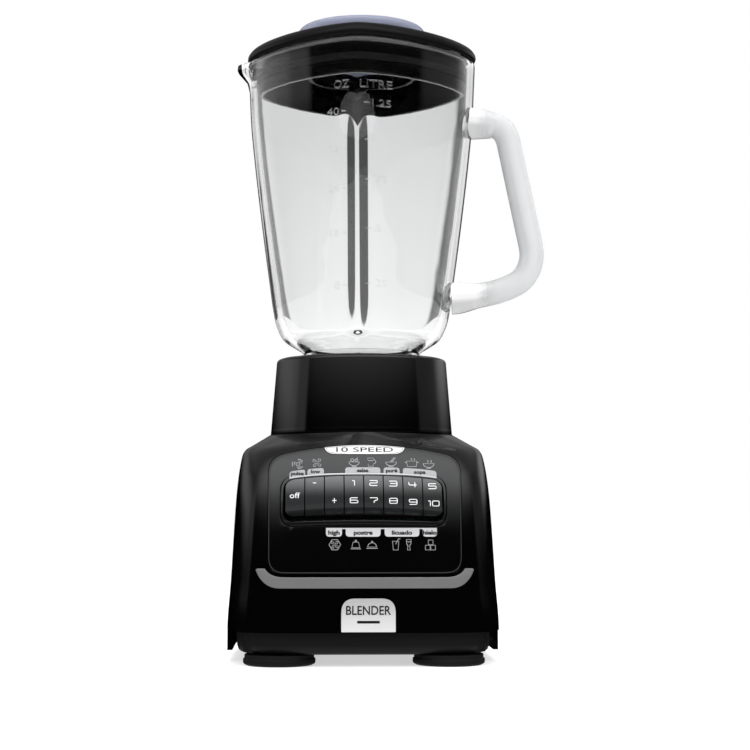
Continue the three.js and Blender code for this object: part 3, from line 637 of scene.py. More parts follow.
def brushed(name, colour, roughness, depth=0.00001, painted_reflection=None, **fixed):
    """Metal with fine lines drawn along X.

    A painted reflection is given as two heights and the share of the colour that is left at the upper one:
    the tone changes with height to stand in for a reflection.
    """

    def lines(sheet):
        return sheet.noise(60, 4, (1, 40, 40))

    def lined(sheet, dark, light):
        return lines(sheet).mix(shade(colour, dark), shade(colour, light))

    def tone(sheet):
        full = lined(sheet, 0.92, 1.06)
        if not painted_reflection:
            return full
        # painted reflection: the tone moves towards a share of the colour with height
        low, high, share = painted_reflection
        return sheet.climb(low, high).mix(full, lined(sheet, share, share * 1.1))

    def gloss(sheet):
        return lines(sheet) * 0.16 + (roughness - 0.08)

    fixed = {"Metallic": 1.0, **fixed}
    return surface(name, tone, gloss, lambda sheet: sheet.bump(lines(sheet), depth), **fixed)


def layered(name, colour, gap_colour, pitch, roughness, metallic):
    """Stacked sheets or turns of wire: lines at an even pitch up the piece."""

    def line(sheet):
        height = sheet.split(sheet.at())[2]
        wave = sheet.node("Math", {"operation": "SINE"}, {0: height * (2 * pi / pitch)})
        return (wave * 0.5 + 0.5).ease(0.05, 0.6)

    def tone(sheet):
        stained = line(sheet) * (sheet.noise(140, 3) * 0.5 + 0.7)
        return stained.mix(gap_colour, shade(colour, 1))

    def gloss(sheet):
        return sheet.noise(300, 2) * 0.2 + (roughness - 0.1)

    return surface(name, tone, gloss, lambda sheet: sheet.bump(line(sheet), 0.0001), Metallic=metallic)


GRIP_START = (0.052, 0.068)  # the handle's satin surface comes in between these places along X
GRIP_FROST = 0.72


def poured_glass(name, colour, roughness=0.0, ripple=0.00035, ior=1.5):
    """Pressed glass: clear, with the slow ripple of its mould, and a frosted grip."""
    material, sheet = blank_material(name)
    tone = sheet.noise(12, 2).mix(shade(colour, 0.985), shade(colour, 1))
    gloss = sheet.noise(25, 2) * 0.012 + roughness
    relief = sheet.bump(sheet.noise(38, 1), ripple, 0.35)
    clear = {"Base Color": tone, "Roughness": gloss, "Transmission Weight": 1.0, "IOR": ior}
    frosted = {"Base Color": (0.66, 0.67, 0.68, 1), "Roughness": 0.4, "Specular IOR Level": 0.3}
    sides = [sheet.node("BsdfPrincipled", None, {"Normal": relief, **side}) for side in (clear, frosted)]
    grip = sheet.split(sheet.at())[0].ease(*GRIP_START) * GRIP_FROST
    sheet.show(sheet.node("MixShader", None, {0: grip, 1: sides[0], 2: sides[1]}))
    return material


def lacquered_board(name, colour):
    """A circuit board: green lacquer over a grid of paler tracks."""

    def track(sheet):
        grid = {"Vector": sheet.at(), "Scale": 260}
        cell = sheet.node("TexVoronoi", {"feature": "DISTANCE_TO_EDGE"}, grid)
        return 1 - cell.ease(0.04, 0.09)

    def tone(sheet):
        return track(sheet).mix(shade(colour, 0.8), shade(colour, 2.2))

    def gloss(sheet):
        return track(sheet) * -0.1 + 0.4

    return surface(name, tone, gloss, lambda sheet: sheet.bump(track(sheet), 0.00005))


def recipe_colours():
    return bpy.context.scene.blender_colours


# finish: its slot in the record, and how it is made
FINISHES = {
    "gloss_shell": (
        "gloss_black_shell",
        lambda: moulded(
            "gloss_shell",
            recipe_colours().shell,
            0.1,
            120,
            0.00001,
            0.2,
            0.05,
            Coat_Weight=0.5,
            Coat_Roughness=0.04,
        ),
    ),
    "panel_gloss": (
        "panel_black",
        lambda: moulded(
            "panel_gloss",
            recipe_colours().panel,
            0.12,
            200,
            0.000006,
            0.2,
            0.04,
            # painted reflection: the panel, and the key frame that shares this finish, are painted lighter
            # towards their top
            (0.074, 0.122, (0.038, 0.039, 0.04, 1)),
            Coat_Weight=0.15,
            Coat_Roughness=0.08,
        ),
    ),
    "satin_plastic": ("satin_black_plastic", lambda: moulded("satin_plastic", recipe_colours().satin, 0.42)),
    "lid_plastic": (
        "lid_black",
        lambda: moulded(
            "lid_plastic", recipe_colours().lid, 0.22, 160, 0.000006, 0.15, 0.05, Specular_IOR_Level=0.2
        ),
    ),
    "key_moulding": (
        "key_plastic",
        lambda: moulded(
            "key_moulding",
            recipe_colours().key,
            0.26,
            900,
            0.000006,
            # painted reflection: the upper part of each key face is painted lighter
            painted_reflection=(0.0965, 0.11, (0.15, 0.155, 0.158, 1)),
            Specular_IOR_Level=0.16,
            Coat_Weight=0.25,
            Coat_Roughness=0.15,
        ),
    ),
    "silver": (
        "silver_plate",
        # painted reflection: the front plate is painted darker towards its top
        lambda: brushed("silver", recipe_colours().silver, 0.4, painted_reflection=(0.02, 0.042, 0.55), Metallic=0.2),
    ),
    "badge_silver": ("silver_plate", lambda: brushed("badge_silver", (0.8, 0.8, 0.8, 1), 0.4, Metallic=0.1)),
    # painted highlight: the grey bead round the panel stands for the light its edge catches
    "edge_highlight_grey": ("grey_trim", lambda: moulded("edge_highlight_grey", (0.05, 0.05, 0.052, 1), 0.3, Metallic=0.4)),
    "trim_grey": (
        "grey_trim",
        lambda: moulded("trim_grey", recipe_colours().trim, 0.34, 2600, 0.00001, 0.1, 0.1, Metallic=0.6),
    ),
    "rubber": (
        "black_rubber",
        lambda: moulded("rubber", (0.005, 0.005, 0.005, 1), 0.6, 1800, 0.00005, Specular_IOR_Level=0.3),
    ),
    "glass": ("clear_glass", lambda: poured_glass("glass", recipe_colours().glass)),
    "scale_glass": (
        "clear_glass",
        lambda: poured_glass("scale_glass", (0.97, 0.98, 0.98, 1), 0.22, 0.0001, 1.35),
    ),
    "cap_plastic": ("tinted_clear_plastic", lambda: cap_plastic("cap_plastic", recipe_colours().cap)),
    "blade_steel": ("steel", lambda: brushed("blade_steel", (0.6, 0.61, 0.62, 1), 0.26)),
    "laminations": (
        "laminated_steel",
        lambda: layered("laminations", (0.3, 0.3, 0.31, 1), (0.05, 0.05, 0.05, 1), 0.001, 0.5, 0.9),
    ),
    "cast_metal": (
        "cast_aluminium",
        lambda: moulded("cast_metal", (0.55, 0.56, 0.57, 1), 0.5, 700, 0.0001, 0.15, 0.2, Metallic=1.0),
    ),
    "copper": (
        "copper_winding",
        lambda: layered("copper", (0.72, 0.3, 0.14, 1), (0.2, 0.06, 0.03, 1), 0.0008, 0.35, 1.0),
    ),
    "brush_carbon": ("carbon", lambda: moulded("brush_carbon", (0.03, 0.03, 0.03, 1), 0.7, 900, 0.00005)),
    "phenolic": ("brown_moulding", lambda: moulded("phenolic", (0.02, 0.012, 0.008, 1), 0.55, 500)),
    "board": ("circuit_board", lambda: lacquered_board("board", (0.03, 0.18, 0.08, 1))),
    "dark_ink": ("panel_black", lambda: moulded("dark_ink", (0.003, 0.003, 0.003, 1), 0.6)),
    "grey_ink": ("silver_plate", lambda: moulded("grey_ink", (0.36, 0.37, 0.38, 1), 0.5)),
    "pale_ink": ("silver_plate", lambda: moulded("pale_ink", (0.78, 0.79, 0.8, 1), 0.5)),
    "silver_ink": (
        "silver_plate",
        lambda: brushed("silver_ink", (0.62, 0.62, 0.63, 1), 0.5, 0.000004, Metallic=0.2),
    ),
}


def cap_plastic(name, colour):
    """Translucent plastic, cloudier where it is thick."""

    def tone(sheet):
        return sheet.noise(30, 2).mix(shade(colour, 0.94), shade(colour, 1.03))

    def gloss(sheet):
        return sheet.noise(90, 3) * 0.08 + 0.12

    def relief(sheet):
        return sheet.bump(sheet.noise(500, 1), 0.00001)

    return surface(name, tone, gloss, relief, Transmission_Weight=0.55, IOR=1.46)


def finish_named(name):
    return bpy.data.materials.get(name) or FINISHES[name][1]()


# ---------------------------------------------------------------- base


def body_form(name, grow, heights, sides=192):
    """The base's body, grown or shrunk, between its first and last height."""

    def place(angle, z):
        half = along(BODY_ROWS, z, 1) + grow
        reach = along(BODY_ROWS, z, 2 if angle < 0 else 3) + grow
        exponent = 2 / along(BODY_ROWS, z, 4)
        top = BODY_ROWS[-1][0]
        lift = grow if z >= top else 0
        return half * power(cos(angle), exponent), reach * power(sin(angle), exponent), z + lift

    return shaped(name, [(z,) for z in heights], sides, place)


GLAND_HEIGHT = 34
SLOT_PITCH = 9
WAIST, SHOULDER = 22.2, 112  # heights where the skirts end and where the housing starts to close in


def lying_back(y, z):
    """Stands a piece drawn in X and Y up, and moves it."""
    return Matrix.Translation((0, y, z)) @ Matrix.Rotation(pi / 2, 4, "X")


def slot_cutter(half, thickness, steps, place):
    corners = [(-half, -1.5), (half, -1.5), (half, 1.5), (-half, 1.5)]
    slot = flat("slot", [softened(corners, 1.5, True, steps)], thickness)
    slot.data.transform(place)
    return slot


def make_housing():
    base = bpy.context.scene.blender_base
    low, top = BODY_ROWS[0][0], BODY_ROWS[-1][0]
    heights = [low, low + 0.6, 16, WAIST] + span(WAIST, SHOULDER, 6)
    heights += [SHOULDER] + span(SHOULDER, top, 1.1) + [top]
    housing = body_form("housing", 0, heights)
    inner = [low - 1] + [z for z in heights[4:] if z < top - 5] + [top - base.wall - 0.3]
    inside = body_form("inside", -base.wall, inner, 96)
    cut(
        housing,
        inside,
        rod("top_hole", 47, 120, 145, sides=96),
        brick("front_step", (-100, -100, 0), (100, base.skirt_start, WAIST)),
        skin("panel_pocket", [panel_outline(GAP)], -1.75, 4, 0),
        skin("panel_opening", [panel_outline(-5)], -8, 3, 0, 8),
        skin("trim_pocket", [trim_outline(GAP)], -1.3, 3, 0),
        skin("plate_pocket", [plate_outline(GAP)], -1.1, 3, 0),
    )
    gland_hole = rod("gland_hole", 6.6, -95, -70, sides=40)
    gland_hole.data.transform(lying_back(0, GLAND_HEIGHT))
    louvre_heights = [65.5 + SLOT_PITCH * row for row in range(base.louvre_rows)]
    louvres = [slot_cutter(32, 30, 6, lying_back(75, z)) for z in louvre_heights]
    cut(housing, gland_hole, *louvres)
    placed(housing, "base", "gloss_shell", ["motor_housing"])


def make_collar():
    profile = softened(
        [
            (43.6, 130),
            (46.5, 130),
            (46.5, 138.15, 0.2),
            (56.2, 138.15, 0.5),
            (55.9, 141, 0.3),
            (52.4, 184.2, 4.6),
            (49, 185.2, 1.5),
            (46.6, 185.3, 1.0),
            (46.2, 181, 0.5),
            (44.6, 149),
            (42.6, 146, 1),
            (12, 146, 0.6),
            (12, 143),
            (43.6, 143, 1),
        ],
        0.3,
        closed=True,
        steps=5,
    )
    collar = turned("collar", profile, 160)
    for sx in BOTH_SIDES:
        for sy in BOTH_SIDES:
            cut(collar, rod("post", 4, 113.2, 144, sx * 30.5, sy * 23.5, 24), keep="UNION")
    placed(collar, "base", "gloss_shell", ["jar_collar"])


def make_base_plate():
    def tray(name, grow, low, sides=128):
        rows = [(71.4, low), (73.9, low + 1), (74.9, low + 4.2), (75.2, 26)]

        def place(angle, half, z):
            reach = 1.05 * half
            return half * power(cos(angle), 1 / 3), reach * power(sin(angle), 1 / 3), z

        rows = softened([(half + grow, z) for half, z in rows], 1.5)
        return shaped(name, rows, sides, place)

    plate = tray("tray", 0, 9.3)
    hollow = tray("hollow", -2.4, 11.7, 64)
    hollow.data.transform(Matrix.Translation((0, 0, 0.4)))
    cut(plate, hollow)
    for sx in BOTH_SIDES:
        for sy in BOTH_SIDES:
            x, y = 64 * sx, 65 * sy
            cut(plate, rod("pillar", 6.2, 10.5, 25.6, x, y, 32), keep="UNION")
            cut(plate, rod("bore", 2.4, 5, 40, x, y, 24), rod("sink", 4.5, 5, 12.9, x, y, 32))
    for row in range(-2, 3):
        cut(plate, slot_cutter(28, 20, 4, Matrix.Translation((0, SLOT_PITCH * row, 10))))
    placed(plate, "base", "satin_plastic", ["base_plate"])


def make_feet():
    radius = bpy.context.scene.blender_base.foot_radius
    profile = softened(
        [
            (0.6, DATUM, 0),
            (radius - 6, DATUM, 0.4),
            (radius - 6.6, DATUM + 0.5, 0.3),
            (radius - 2.2, DATUM, 0.4),
            (radius, 3.7, 0.9),
            (radius, 6.4, 0.4),
            (radius - 0.8, 6.8, 0.2),
            (radius - 0.8, 8.9, 0.2),
            (0.6, 8.9, 0),
        ],
        0.3,
    )
    for end, sy in (("front", -1), ("rear", 1)):
        for side, sx in (("left", -1), ("right", 1)):
            foot = turned(f"rubber_foot_{end}_{side}", profile, 96, ring=False)
            foot.data.transform(Matrix.Translation((49.2 * sx, 61 * sy, 0)))
            placed(foot, "base", "rubber", [f"foot_{end}_{side}"])


def make_gland():
    """A bush with a flared collar, its bore open where a cord would come out."""
    profile = softened(
        [
            (3.8, -88, 0.6),
            (7.4, -88, 0.8),
            (9, -86.6, 0.6),
            (9, -85.3),
            (6.2, -85.3),
            (6.2, -80),
            (7.6, -80),
            (7.6, -76),
            (3.8, -76),
        ],
        0.3,
        closed=True,
    )
    gland = turned("gland", profile, 64)
    gland.data.transform(lying_back(0, GLAND_HEIGHT))
    placed(gland, "base", "rubber", ["cord_gland"])


# ---------------------------------------------------------------- controls

KEYS_X = -0.9
KEY_PITCH = 11.25
KEY_NAMES = ["off_key", "low_key", "high_key", "key_1_6", "key_2_7", "key_3_8", "key_4_9", "key_5_10"]
# reach to the front and height, from the rear of the top round the face to the rear of the foot
KEY_SIDE = [
    (-70.5, 113.5),
    (-76.4, 113.5),
    (-77.4, 111.6),
    (-80.1, 109.5),
    (-82.5, 106.7),
    (-84.4, 103.3),
    (-85.6, 99.8),
    (-86.3, 96.8),
    (-86.9, 94.8),
    (-88, 93.5),
    (-87.7, 92.4),
    (-85.4, 90.6),
    (-83.2, 89.1),
    (-81.6, 87.3),
    (-70.5, 87.3),
]


# Each sign is drawn in a box one wide and one high.
SIGNS = {
    "0": [[(-0.5, 0), (0.5, 0), (0.5, 1), (-0.5, 1), (-0.5, 0)]],
    "1": [[(-0.22, 1), (0.08, 1), (0.08, 0)]],
    "2": [[(-0.5, 1), (0.5, 1), (0.5, 0.52), (-0.5, 0.52), (-0.5, 0), (0.5, 0)]],
    "3": [[(-0.5, 1), (0.5, 1), (0.5, 0), (-0.5, 0)], [(-0.36, 0.52), (0.5, 0.52)]],
    "4": [[(-0.5, 1), (-0.5, 0.42), (0.52, 0.42)], [(0.28, 1), (0.28, 0)]],
    "5": [[(0.5, 1), (-0.5, 1), (-0.5, 0.54), (0.5, 0.54), (0.5, 0), (-0.5, 0)]],
    "6": [[(0.46, 1), (-0.5, 1), (-0.5, 0), (0.5, 0), (0.5, 0.54), (-0.5, 0.54)]],
    "7": [[(-0.5, 1), (0.5, 1), (0.5, 0.56), (0.05, 0.4), (0.05, 0)]],
    "8": [[(-0.5, 0), (0.5, 0), (0.5, 1), (-0.5, 1), (-0.5, 0)], [(-0.5, 0.52), (0.5, 0.52)]],
    "9": [[(-0.46, 0), (0.5, 0), (0.5, 1), (-0.5, 1), (-0.5, 0.46), (0.5, 0.46)]],
    "-": [[(-0.3, 0.5), (0.3, 0.5)]],
    "+": [[(-0.36, 0.5), (0.36, 0.5)], [(0, 0.02), (0, 0.98)]],
}


def sign(text, x, foot, width, height):
    """Numbers drawn as lines with rounded corners."""
    lines = []
    single = len(text) == 1
    step, stretch = (0, 1) if single else (0.78, 0.86)
    for k, letter in enumerate(text):
        middle = x + (k - (len(text) - 1) / 2) * step * width
        for line in SIGNS[letter]:
            points = [(middle + px * width * stretch, foot + py * height) for px, py in line]
            closed = line[0] == line[-1]
            points = softened(points[:-1] if closed else points, 0.8, closed, 5)
            lines.append(points + points[:1] if closed else points)
    return strokes("sign", lines, 0.46)


def key_x(index):
    return KEYS_X + (index - (len(KEY_NAMES) - 1) / 2) * KEY_PITCH


def key_drop(x):
    """How much lower the curved row of keys stands towards its ends."""
    return 2.4 * ((x - KEYS_X) / 45) ** 2


def key_face(x, z, out=0.0):
    """How far forward a key's face stands at a place."""
    height = z + key_drop(x)
    face = [(face_z, face_y) for face_y, face_z in reversed(KEY_SIDE[2:10])]
    return along(face, height, 1) - out


def make_panel():
    panel = skin("panel", [panel_outline(), frame_outline(GAP)], -1.4, 0.9, 0.35)
    cut(panel, skin("badge_seat", [badge_outline(GAP)], 0.2, 3, 0))
    placed(panel, "base", "panel_gloss", ["control_panel"])
    # The grey bead round the panel is a painted highlight of the panel's edge.
    rim = panel_outline(-0.55)
    bead = bent_to(strokes("panel_edge_highlight", [rim + rim[:1]], 0.6, 0.7), body_front, 0.85, 3)
    placed(bead, "base", "edge_highlight_grey")


def cradle_front(x, z, out=0.0):
    """The key frame stands well proud under the keys and dies into the panel beside their tops."""
    rise = out * (0.36 + 0.64 * (1 - smooth(z, 97, 109))) if out > 0 else out
    return body_front(x, z, rise)


def make_key_frame():
    outlines = [frame_outline(), bank_outline(0.8, 1.6)]
    surround = bent_to(flat("surround", outlines, 8.1, 1.2), cradle_front, -1.45, 2)
    placed(surround, "base", "panel_gloss", ["key_frame"])


def make_badge():
    badge = skin("badge", [badge_outline()], 0.5, 1.3, 0.3, 2)
    rim = softened([(x * 0.965, 127 + (y - 127) * 0.8) for x, y in badge_outline()], 0.1, True, 1)
    line = bent_to(strokes("badge_line", [rim + rim[:1]], 0.24), body_front, 1.3, 0)
    word = bent_to(lettering("10 SPEED", 0, 125.7, 2.7, 0.2, 33, bold=0.006), body_front, 1.32, 1.5)
    placed(badge, "base", "badge_silver", ["panel_badge"])
    placed(joined("badge_marks", [line, word]), "base", "dark_ink")


def make_trim():
    placed(skin("trim", [trim_outline()], -0.95, 0.5, 0.45, 2.5), "base", "trim_grey", ["trim_strip"])


def make_plate():
    plate = skin("plate", [plate_outline()], -0.75, 0.3, 0.3)
    rule = [(PLATE_X - 6.4, 28.4), (PLATE_X + 6.4, 28.4)]
    word = bent_to(lettering("BLENDER", PLATE_X, 32.6, 5.0, 0.2, 25.5, bold=0.08), body_front, 0.32, 3)
    line = bent_to(strokes("rule", [rule], 1.5), body_front, 0.3, 3)
    placed(plate, "base", "silver", ["front_plate"])
    placed(joined("plate_marks", [word, line]), "base", "dark_ink")


def make_keys():
    marks = {"off_key": [], "low_key": [("-", 107, 3.2)], "high_key": [("+", 96.3, 3.2)]}
    for top, bottom, name in zip("12345", ("6", "7", "8", "9", "10"), KEY_NAMES[3:]):
        marks[name] = [(top, 106, 4.4), (bottom, 96.1, 4.4)]
    for index, name in enumerate(KEY_NAMES):
        x = key_x(index)
        key = flat(name + "_cap", [KEY_SIDE], bpy.context.scene.blender_controls.key_width)
        sliced(key, 2, span(-5, 5, 2.5))
        for vertex in key.data.vertices:
            y, z, across = vertex.co
            vertex.co = (x + across, y, z - key_drop(x + across))
        outwards(key)
        bank = flat("bank", [bank_outline()], 60)
        bank.data.transform(lying_back(-80, 0))
        cut(key, bank, keep="INTERSECT")
        eased(key, 0.55, 3)
        placed(key, name, "key_moulding", [name])
        letters = [
            bent_to(sign(text, x, foot - key_drop(x), width, 2.9), key_face, 0.02, 1.5)
            for text, foot, width in marks[name]
        ]
        if name == "off_key":
            word = lettering("off", x, 100.6 - key_drop(x), 3.2, 0.2, 5.8, bold=0.006)
            letters.append(bent_to(word, key_face, 0.06, 1.5))
        placed(joined(name + "_mark", letters), name, "pale_ink")


def panel_bow(x):
    """How the upper row of legends bends down towards its ends."""
    return -2 * abs(x / 40) ** 3


def level(x):
    return 0


def pill(left, right, low, high, bow, low_round, high_round):
    """A label with rounded corners, whose edges have points enough to bend."""
    foot = [(left, low, low_round), (right, low, low_round)]
    head = [(right, high, high_round), (left, high, high_round)]
    points = softened(foot + head, 1, True, 6)
    inner = []
    for (x0, y0), (x1, y1) in zip(points, points[1:] + points[:1]):
        count = max(1, round(hypot(x1 - x0, y1 - y0) / 3))
        inner += [(x0 + (x1 - x0) * k / count, y0 + (y1 - y0) * k / count) for k in range(count)]
    return [(x, y + bow(x)) for x, y in inner]


def band(left, right, low, high, bow):
    xs = [left] + span(left, right, 3) + [right]
    return [(x, low + bow(x)) for x in xs] + [(x, high + bow(x)) for x in reversed(xs)]


# word, left end, right end
UPPER_PILLS = [
    ("pulse", -43.5, -34.5),
    ("low", -33.2, -23.7),
    ("salsa", -11.4, 8.9),
    ("puré", 10.8, 20.0),
    ("sopa", 21.9, 41.4),
]
LOWER_PILLS = [("high", -22.5, -13.3), ("postre", -11.2, 8.8), ("licuado", 11.1, 31.0), ("hielo", 32.9, 41.1)]
UPPER_PILL_EDGES = (113.2, 116.6)
LOWER_PILL_EDGES = (76.8, 81.2)
UPPER_WORD_FOOT = 113.9
LOWER_WORD_FOOT = 78.0


def make_legends():
    upper = [pill(left, right, *UPPER_PILL_EDGES, panel_bow, 0.4, 1.9) for _, left, right in UPPER_PILLS]
    lower = [pill(left, right, *LOWER_PILL_EDGES, level, 2.2, 0.4) for _, left, right in LOWER_PILLS]
    upper, lower = (skin("legend_pills", outlines, 0.8, 1.1, 0.05, 3) for outlines in (upper, lower))
    words = []
    for text, left, right in UPPER_PILLS:
        x = (left + right) / 2
        words.append(lettering(text, x, UPPER_WORD_FOOT + panel_bow(x), 2.0, 0.12, bold=0.1))
    for text, left, right in LOWER_PILLS:
        words.append(lettering(text, (left + right) / 2, LOWER_WORD_FOOT, 2.3, 0.12, bold=0.13))
    words = [bent_to(word, body_front, 1.12, 2) for word in words]
    bars = [band(-43.5, 41.4, 112.5, 113.3, panel_bow), band(-22.5, 41.1, 81.1, 81.8, level)]
    bars = skin("legend_bars", bars, 0.8, 1.06, 0.05, 3)
    placed(upper, "base", "grey_ink")
    placed(lower, "base", "silver_ink")
    placed(bars, "base", "silver_ink")
    placed(joined("legend_words", words), "base", "dark_ink")


def shift(lines, x, y, wide, high):
    """Lines drawn two across and two high, set at a place and size."""
    return [[(x + px * wide / 2, y + py * high / 2) for px, py in line] for line in lines]


def closed(points):
    return points + points[:1]


def loop(x, y, radius, steps=16):
    return closed(arc(x, y, radius, 0, 360, steps)[:-1])


def fan_icon(size=1.0):
    """Four leaves round a middle."""
    leaf = closed([(0.1, 0.1), (0.3, 0.75), (0.7, 0.7), (0.55, 0.25)])
    blades = []
    for turn in (0, 90, 180, 270):
        c, s = size * cos(radians(turn)), size * sin(radians(turn))
        blades.append([(x * c - y * s, x * s + y * c) for x, y in leaf])
    return blades


def sweeps(radius, first, length):
    """Three arcs round a middle."""
    return [arc(0, 0, radius, a, a + length, 6) for a in (first, first + 120, first + 240)]


def steam(*places):
    return [arc(x, y, radius, -60, 60, 5) for x, y, radius in places]


def mirrored(right):
    """A closed outline from the points of its right half, top to foot."""
    return closed([(-x, y) for x, y in right] + list(reversed(right)))


def cube_icon(x, y):
    right, top = 0.42, 0.4
    corners = [(-right, -top), (right, -top), (right, top), (-right, top)]
    return closed([(x + px, y + py) for px, py in corners])


BOWL = [closed(arc(0, 0.05, 0.75, 180, 360)), [(-0.35, -0.85), (0.35, -0.85)]]
# Each pictogram is drawn in a box two wide and two high, about its middle.
ICONS = {
    "pulse": [loop(0, 0, 0.3)] + sweeps(0.62, 10, 70) + sweeps(0.92, 30, 60),
    "fan": fan_icon(),
    "sauce": BOWL + [loop(-0.25, 0.42, 0.26, 10), loop(0.35, 0.38, 0.22, 10), [(0.35, 0.6), (0.5, 0.9)]],
    "jug": [
        mirrored([(0.5, 0.8), (0.4, -0.8)]),
        arc(0.45, 0.1, 0.4, -80, 80, 8),
        [(-0.45, 0.3), (0.45, 0.3)],
    ],
    "mash": BOWL + [[(-0.1, 0.1), (0.45, 0.95)], [(0.1, 0.1), (0.6, 0.85)]],
    "pot": [
        mirrored([(0.7, 0.35), (0.6, -0.7)]),
        [(-0.95, 0.1), (-0.68, 0.1)],
        [(0.68, 0.1), (0.95, 0.1)],
        *steam((-0.2, 0.7, 0.2), (0.2, 0.7, 0.2)),
    ],
    "soup": BOWL + steam((-0.3, 0.5, 0.25), (0.15, 0.5, 0.25)),
    "hexagon": [loop(0, 0, 1.0, 6)] + fan_icon(0.8),
    "pudding": [
        mirrored([(0.5, 0.45), (0.75, -0.5)]),
        [(-0.95, -0.7), (0.95, -0.7)],
        loop(0, 0.65, 0.16, 8),
    ],
    "dome": [
        closed(arc(0, -0.4, 0.75, 0, 180, 12)),
        [(-0.95, -0.62), (0.95, -0.62)],
        loop(0, 0.5, 0.12, 8),
    ],
    "glass": [mirrored([(0.4, 0.6), (0.3, -0.9)]), [(0.0, 0.1), (0.35, 1.0), (0.6, 1.0)]],
    "tall_glass": [
        mirrored([(0.35, 0.9), (0.3, 0.1), (0.1, -0.2), (0.22, -0.9)]),
        [(-0.32, 0.5), (0.32, 0.5)],
    ],
    "ice": [cube_icon(-0.48, -0.5), cube_icon(0.48, -0.5), cube_icon(0.05, 0.42)],
}
# pictogram, middle, width
UPPER_ICONS = [
    ("pulse", -38.7, 7.2),
    ("fan", -27.7, 6.2),
    ("sauce", -6.2, 8),
    ("jug", 3.4, 7),
    ("mash", 15.2, 8.4),
    ("pot", 27.2, 8.6),
    ("soup", 37, 8.6),
]
LOWER_ICONS = [
    ("hexagon", -17.4, 6.6),
    ("pudding", -5.4, 6.2),
    ("dome", 3.9, 6.8),
    ("glass", 17.4, 9),
    ("tall_glass", 24.9, 8),
    ("ice", 37.3, 6.4),
]


def make_icons():
    lines = []
    for name, x, wide in UPPER_ICONS:
        lines += shift(ICONS[name], x, 119.6 + 0.6 * panel_bow(x), wide, 6)
    for name, x, wide in LOWER_ICONS:
        lines += shift(ICONS[name], x, 72.2, wide, 6.6)
    icons = bent_to(strokes("legend_icons", lines, 0.32), body_front, 0.92, 0)
    placed(icons, "base", "grey_ink")


# ---------------------------------------------------------------- jar


def jar_place(angle, radius, z, row_z, flute_depth, flute_width):
    """A point of the jar's wall: row_z is the height whose plan it takes."""
    jar = bpy.context.scene.glass_jar
    exponent = 2 / along(JAR_ROWS, row_z, 2)
    x = radius * power(cos(angle), exponent)
    y = radius * power(sin(angle), exponent)
    if y < -radius / 2:
        y += flute_at(x, z, flute_depth, flute_width)
    if x < 0:
        x -= jar.spout_reach * smooth(z, 357, 369) * exp(-((y / 7.5) ** 2))
    return x, y, z


def handle_path():
    path = [(62, 334.4)]
    path += [(66, 334.0), (70, 333.6), (74, 333.3), (78, 332.9), (82, 332.5)]
    path += quadratic((82, 332.5), (89.5, 331.4), (92, 322), 14)
    path += [(92 + 13.6 * k / 14, 322 - 66 * k / 14) for k in range(1, 15)]
    path += cubic((105.6, 256), (107.4, 247), (104, 238), (98, 233.4), 14)
    path += cubic((98, 233.4), (88, 227), (72, 224), (56, 223.2), 18)
    return path


def make_handle():
    """The grip, a rounded bar along its path that flares where it meets the jar."""
    path = handle_path()
    count = len(path)

    def place(angle, index):
        x, z = path[index]
        (x0, z0), (x1, z1) = path[max(index - 1, 0)], path[min(index + 1, count - 1)]
        length = hypot(x1 - x0, z1 - z0)
        across = (-(z1 - z0) / length, (x1 - x0) / length)
        ends = min(index, count - 1 - index)
        flare = 1 + 0.3 * (1 - smooth(ends, 1, 7))
        inward = 7.5 * flare * power(cos(angle), 0.86)
        side = 9 * flare * power(sin(angle), 0.86)
        return x + across[0] * inward, side, z + across[1] * inward

    return shaped("handle", [(i,) for i in range(count)], 48, place)


CURVE_TOP = 212  # where the jar's rounded foot runs into its straight wall
LIP_FOOT = 366
NECK_BORE = 31.6


def make_jar():
    jar = bpy.context.scene.glass_jar
    body_z = [CURVE_TOP] + span(CURVE_TOP, LIP_FOOT, 6) + [LIP_FOOT]
    outer_z = [165.7, 176, 186, 188.6] + span(188.6, CURVE_TOP, 1.5) + body_z + [368, 369.4, 370.6]
    outer = [(along(JAR_ROWS, z, 1), z, z) for z in outer_z]
    top = along(JAR_ROWS, 372, 1)
    outer += [(top + 0.1, 371.4, 372), (top - 0.6, 371.9, 372), (top - 1.4, 372, 372)]
    flute = (jar.flute_depth, jar.flute_width)
    glass = shaped("jar_outside", [(*row, *flute) for row in outer], 224, jar_place)
    inner_z = [191.5, 193, 195] + span(195, CURVE_TOP, 1.5) + body_z + [369]
    inner = [(NECK_BORE, z, 170) for z in (163, 175, 189)]
    for z in inner_z:
        wall = along(JAR_ROWS, z - jar.floor, 1) - jar.wall
        inner.append((max(wall, NECK_BORE), z, z - jar.floor))
    inner += [(66.9, 371.2, 372), (68.0, 372.4, 372), (69, 373.6, 372)]
    swell = (jar.flute_depth - 3, jar.flute_width * 1.45)
    hollow = shaped("jar_inside", [(*row, *swell) for row in inner], 224, jar_place)
    cut(glass, make_handle(), keep="UNION")
    cut(glass, hollow)
    glass.name = "jar_glass"
    placed(glass, "jar", "glass", ["glass_jar"], JAR_TURN, 45)


SCALE_RIGHT = [("1.25", 332.1), ("1", 310.9), (".75", 287.5), (".5", 258.7), (".25", 226.4)]
SCALE_LEFT = [("40", 327.3), ("32", 305.3), ("24", 282.1), ("16", 256.0), ("8", 225.1)]


def tick(left, right, z):
    low, high = z - 0.35, z + 0.35
    return flat("tick", [[(left, low), (right, low), (right, high), (left, high)]], 0.5)


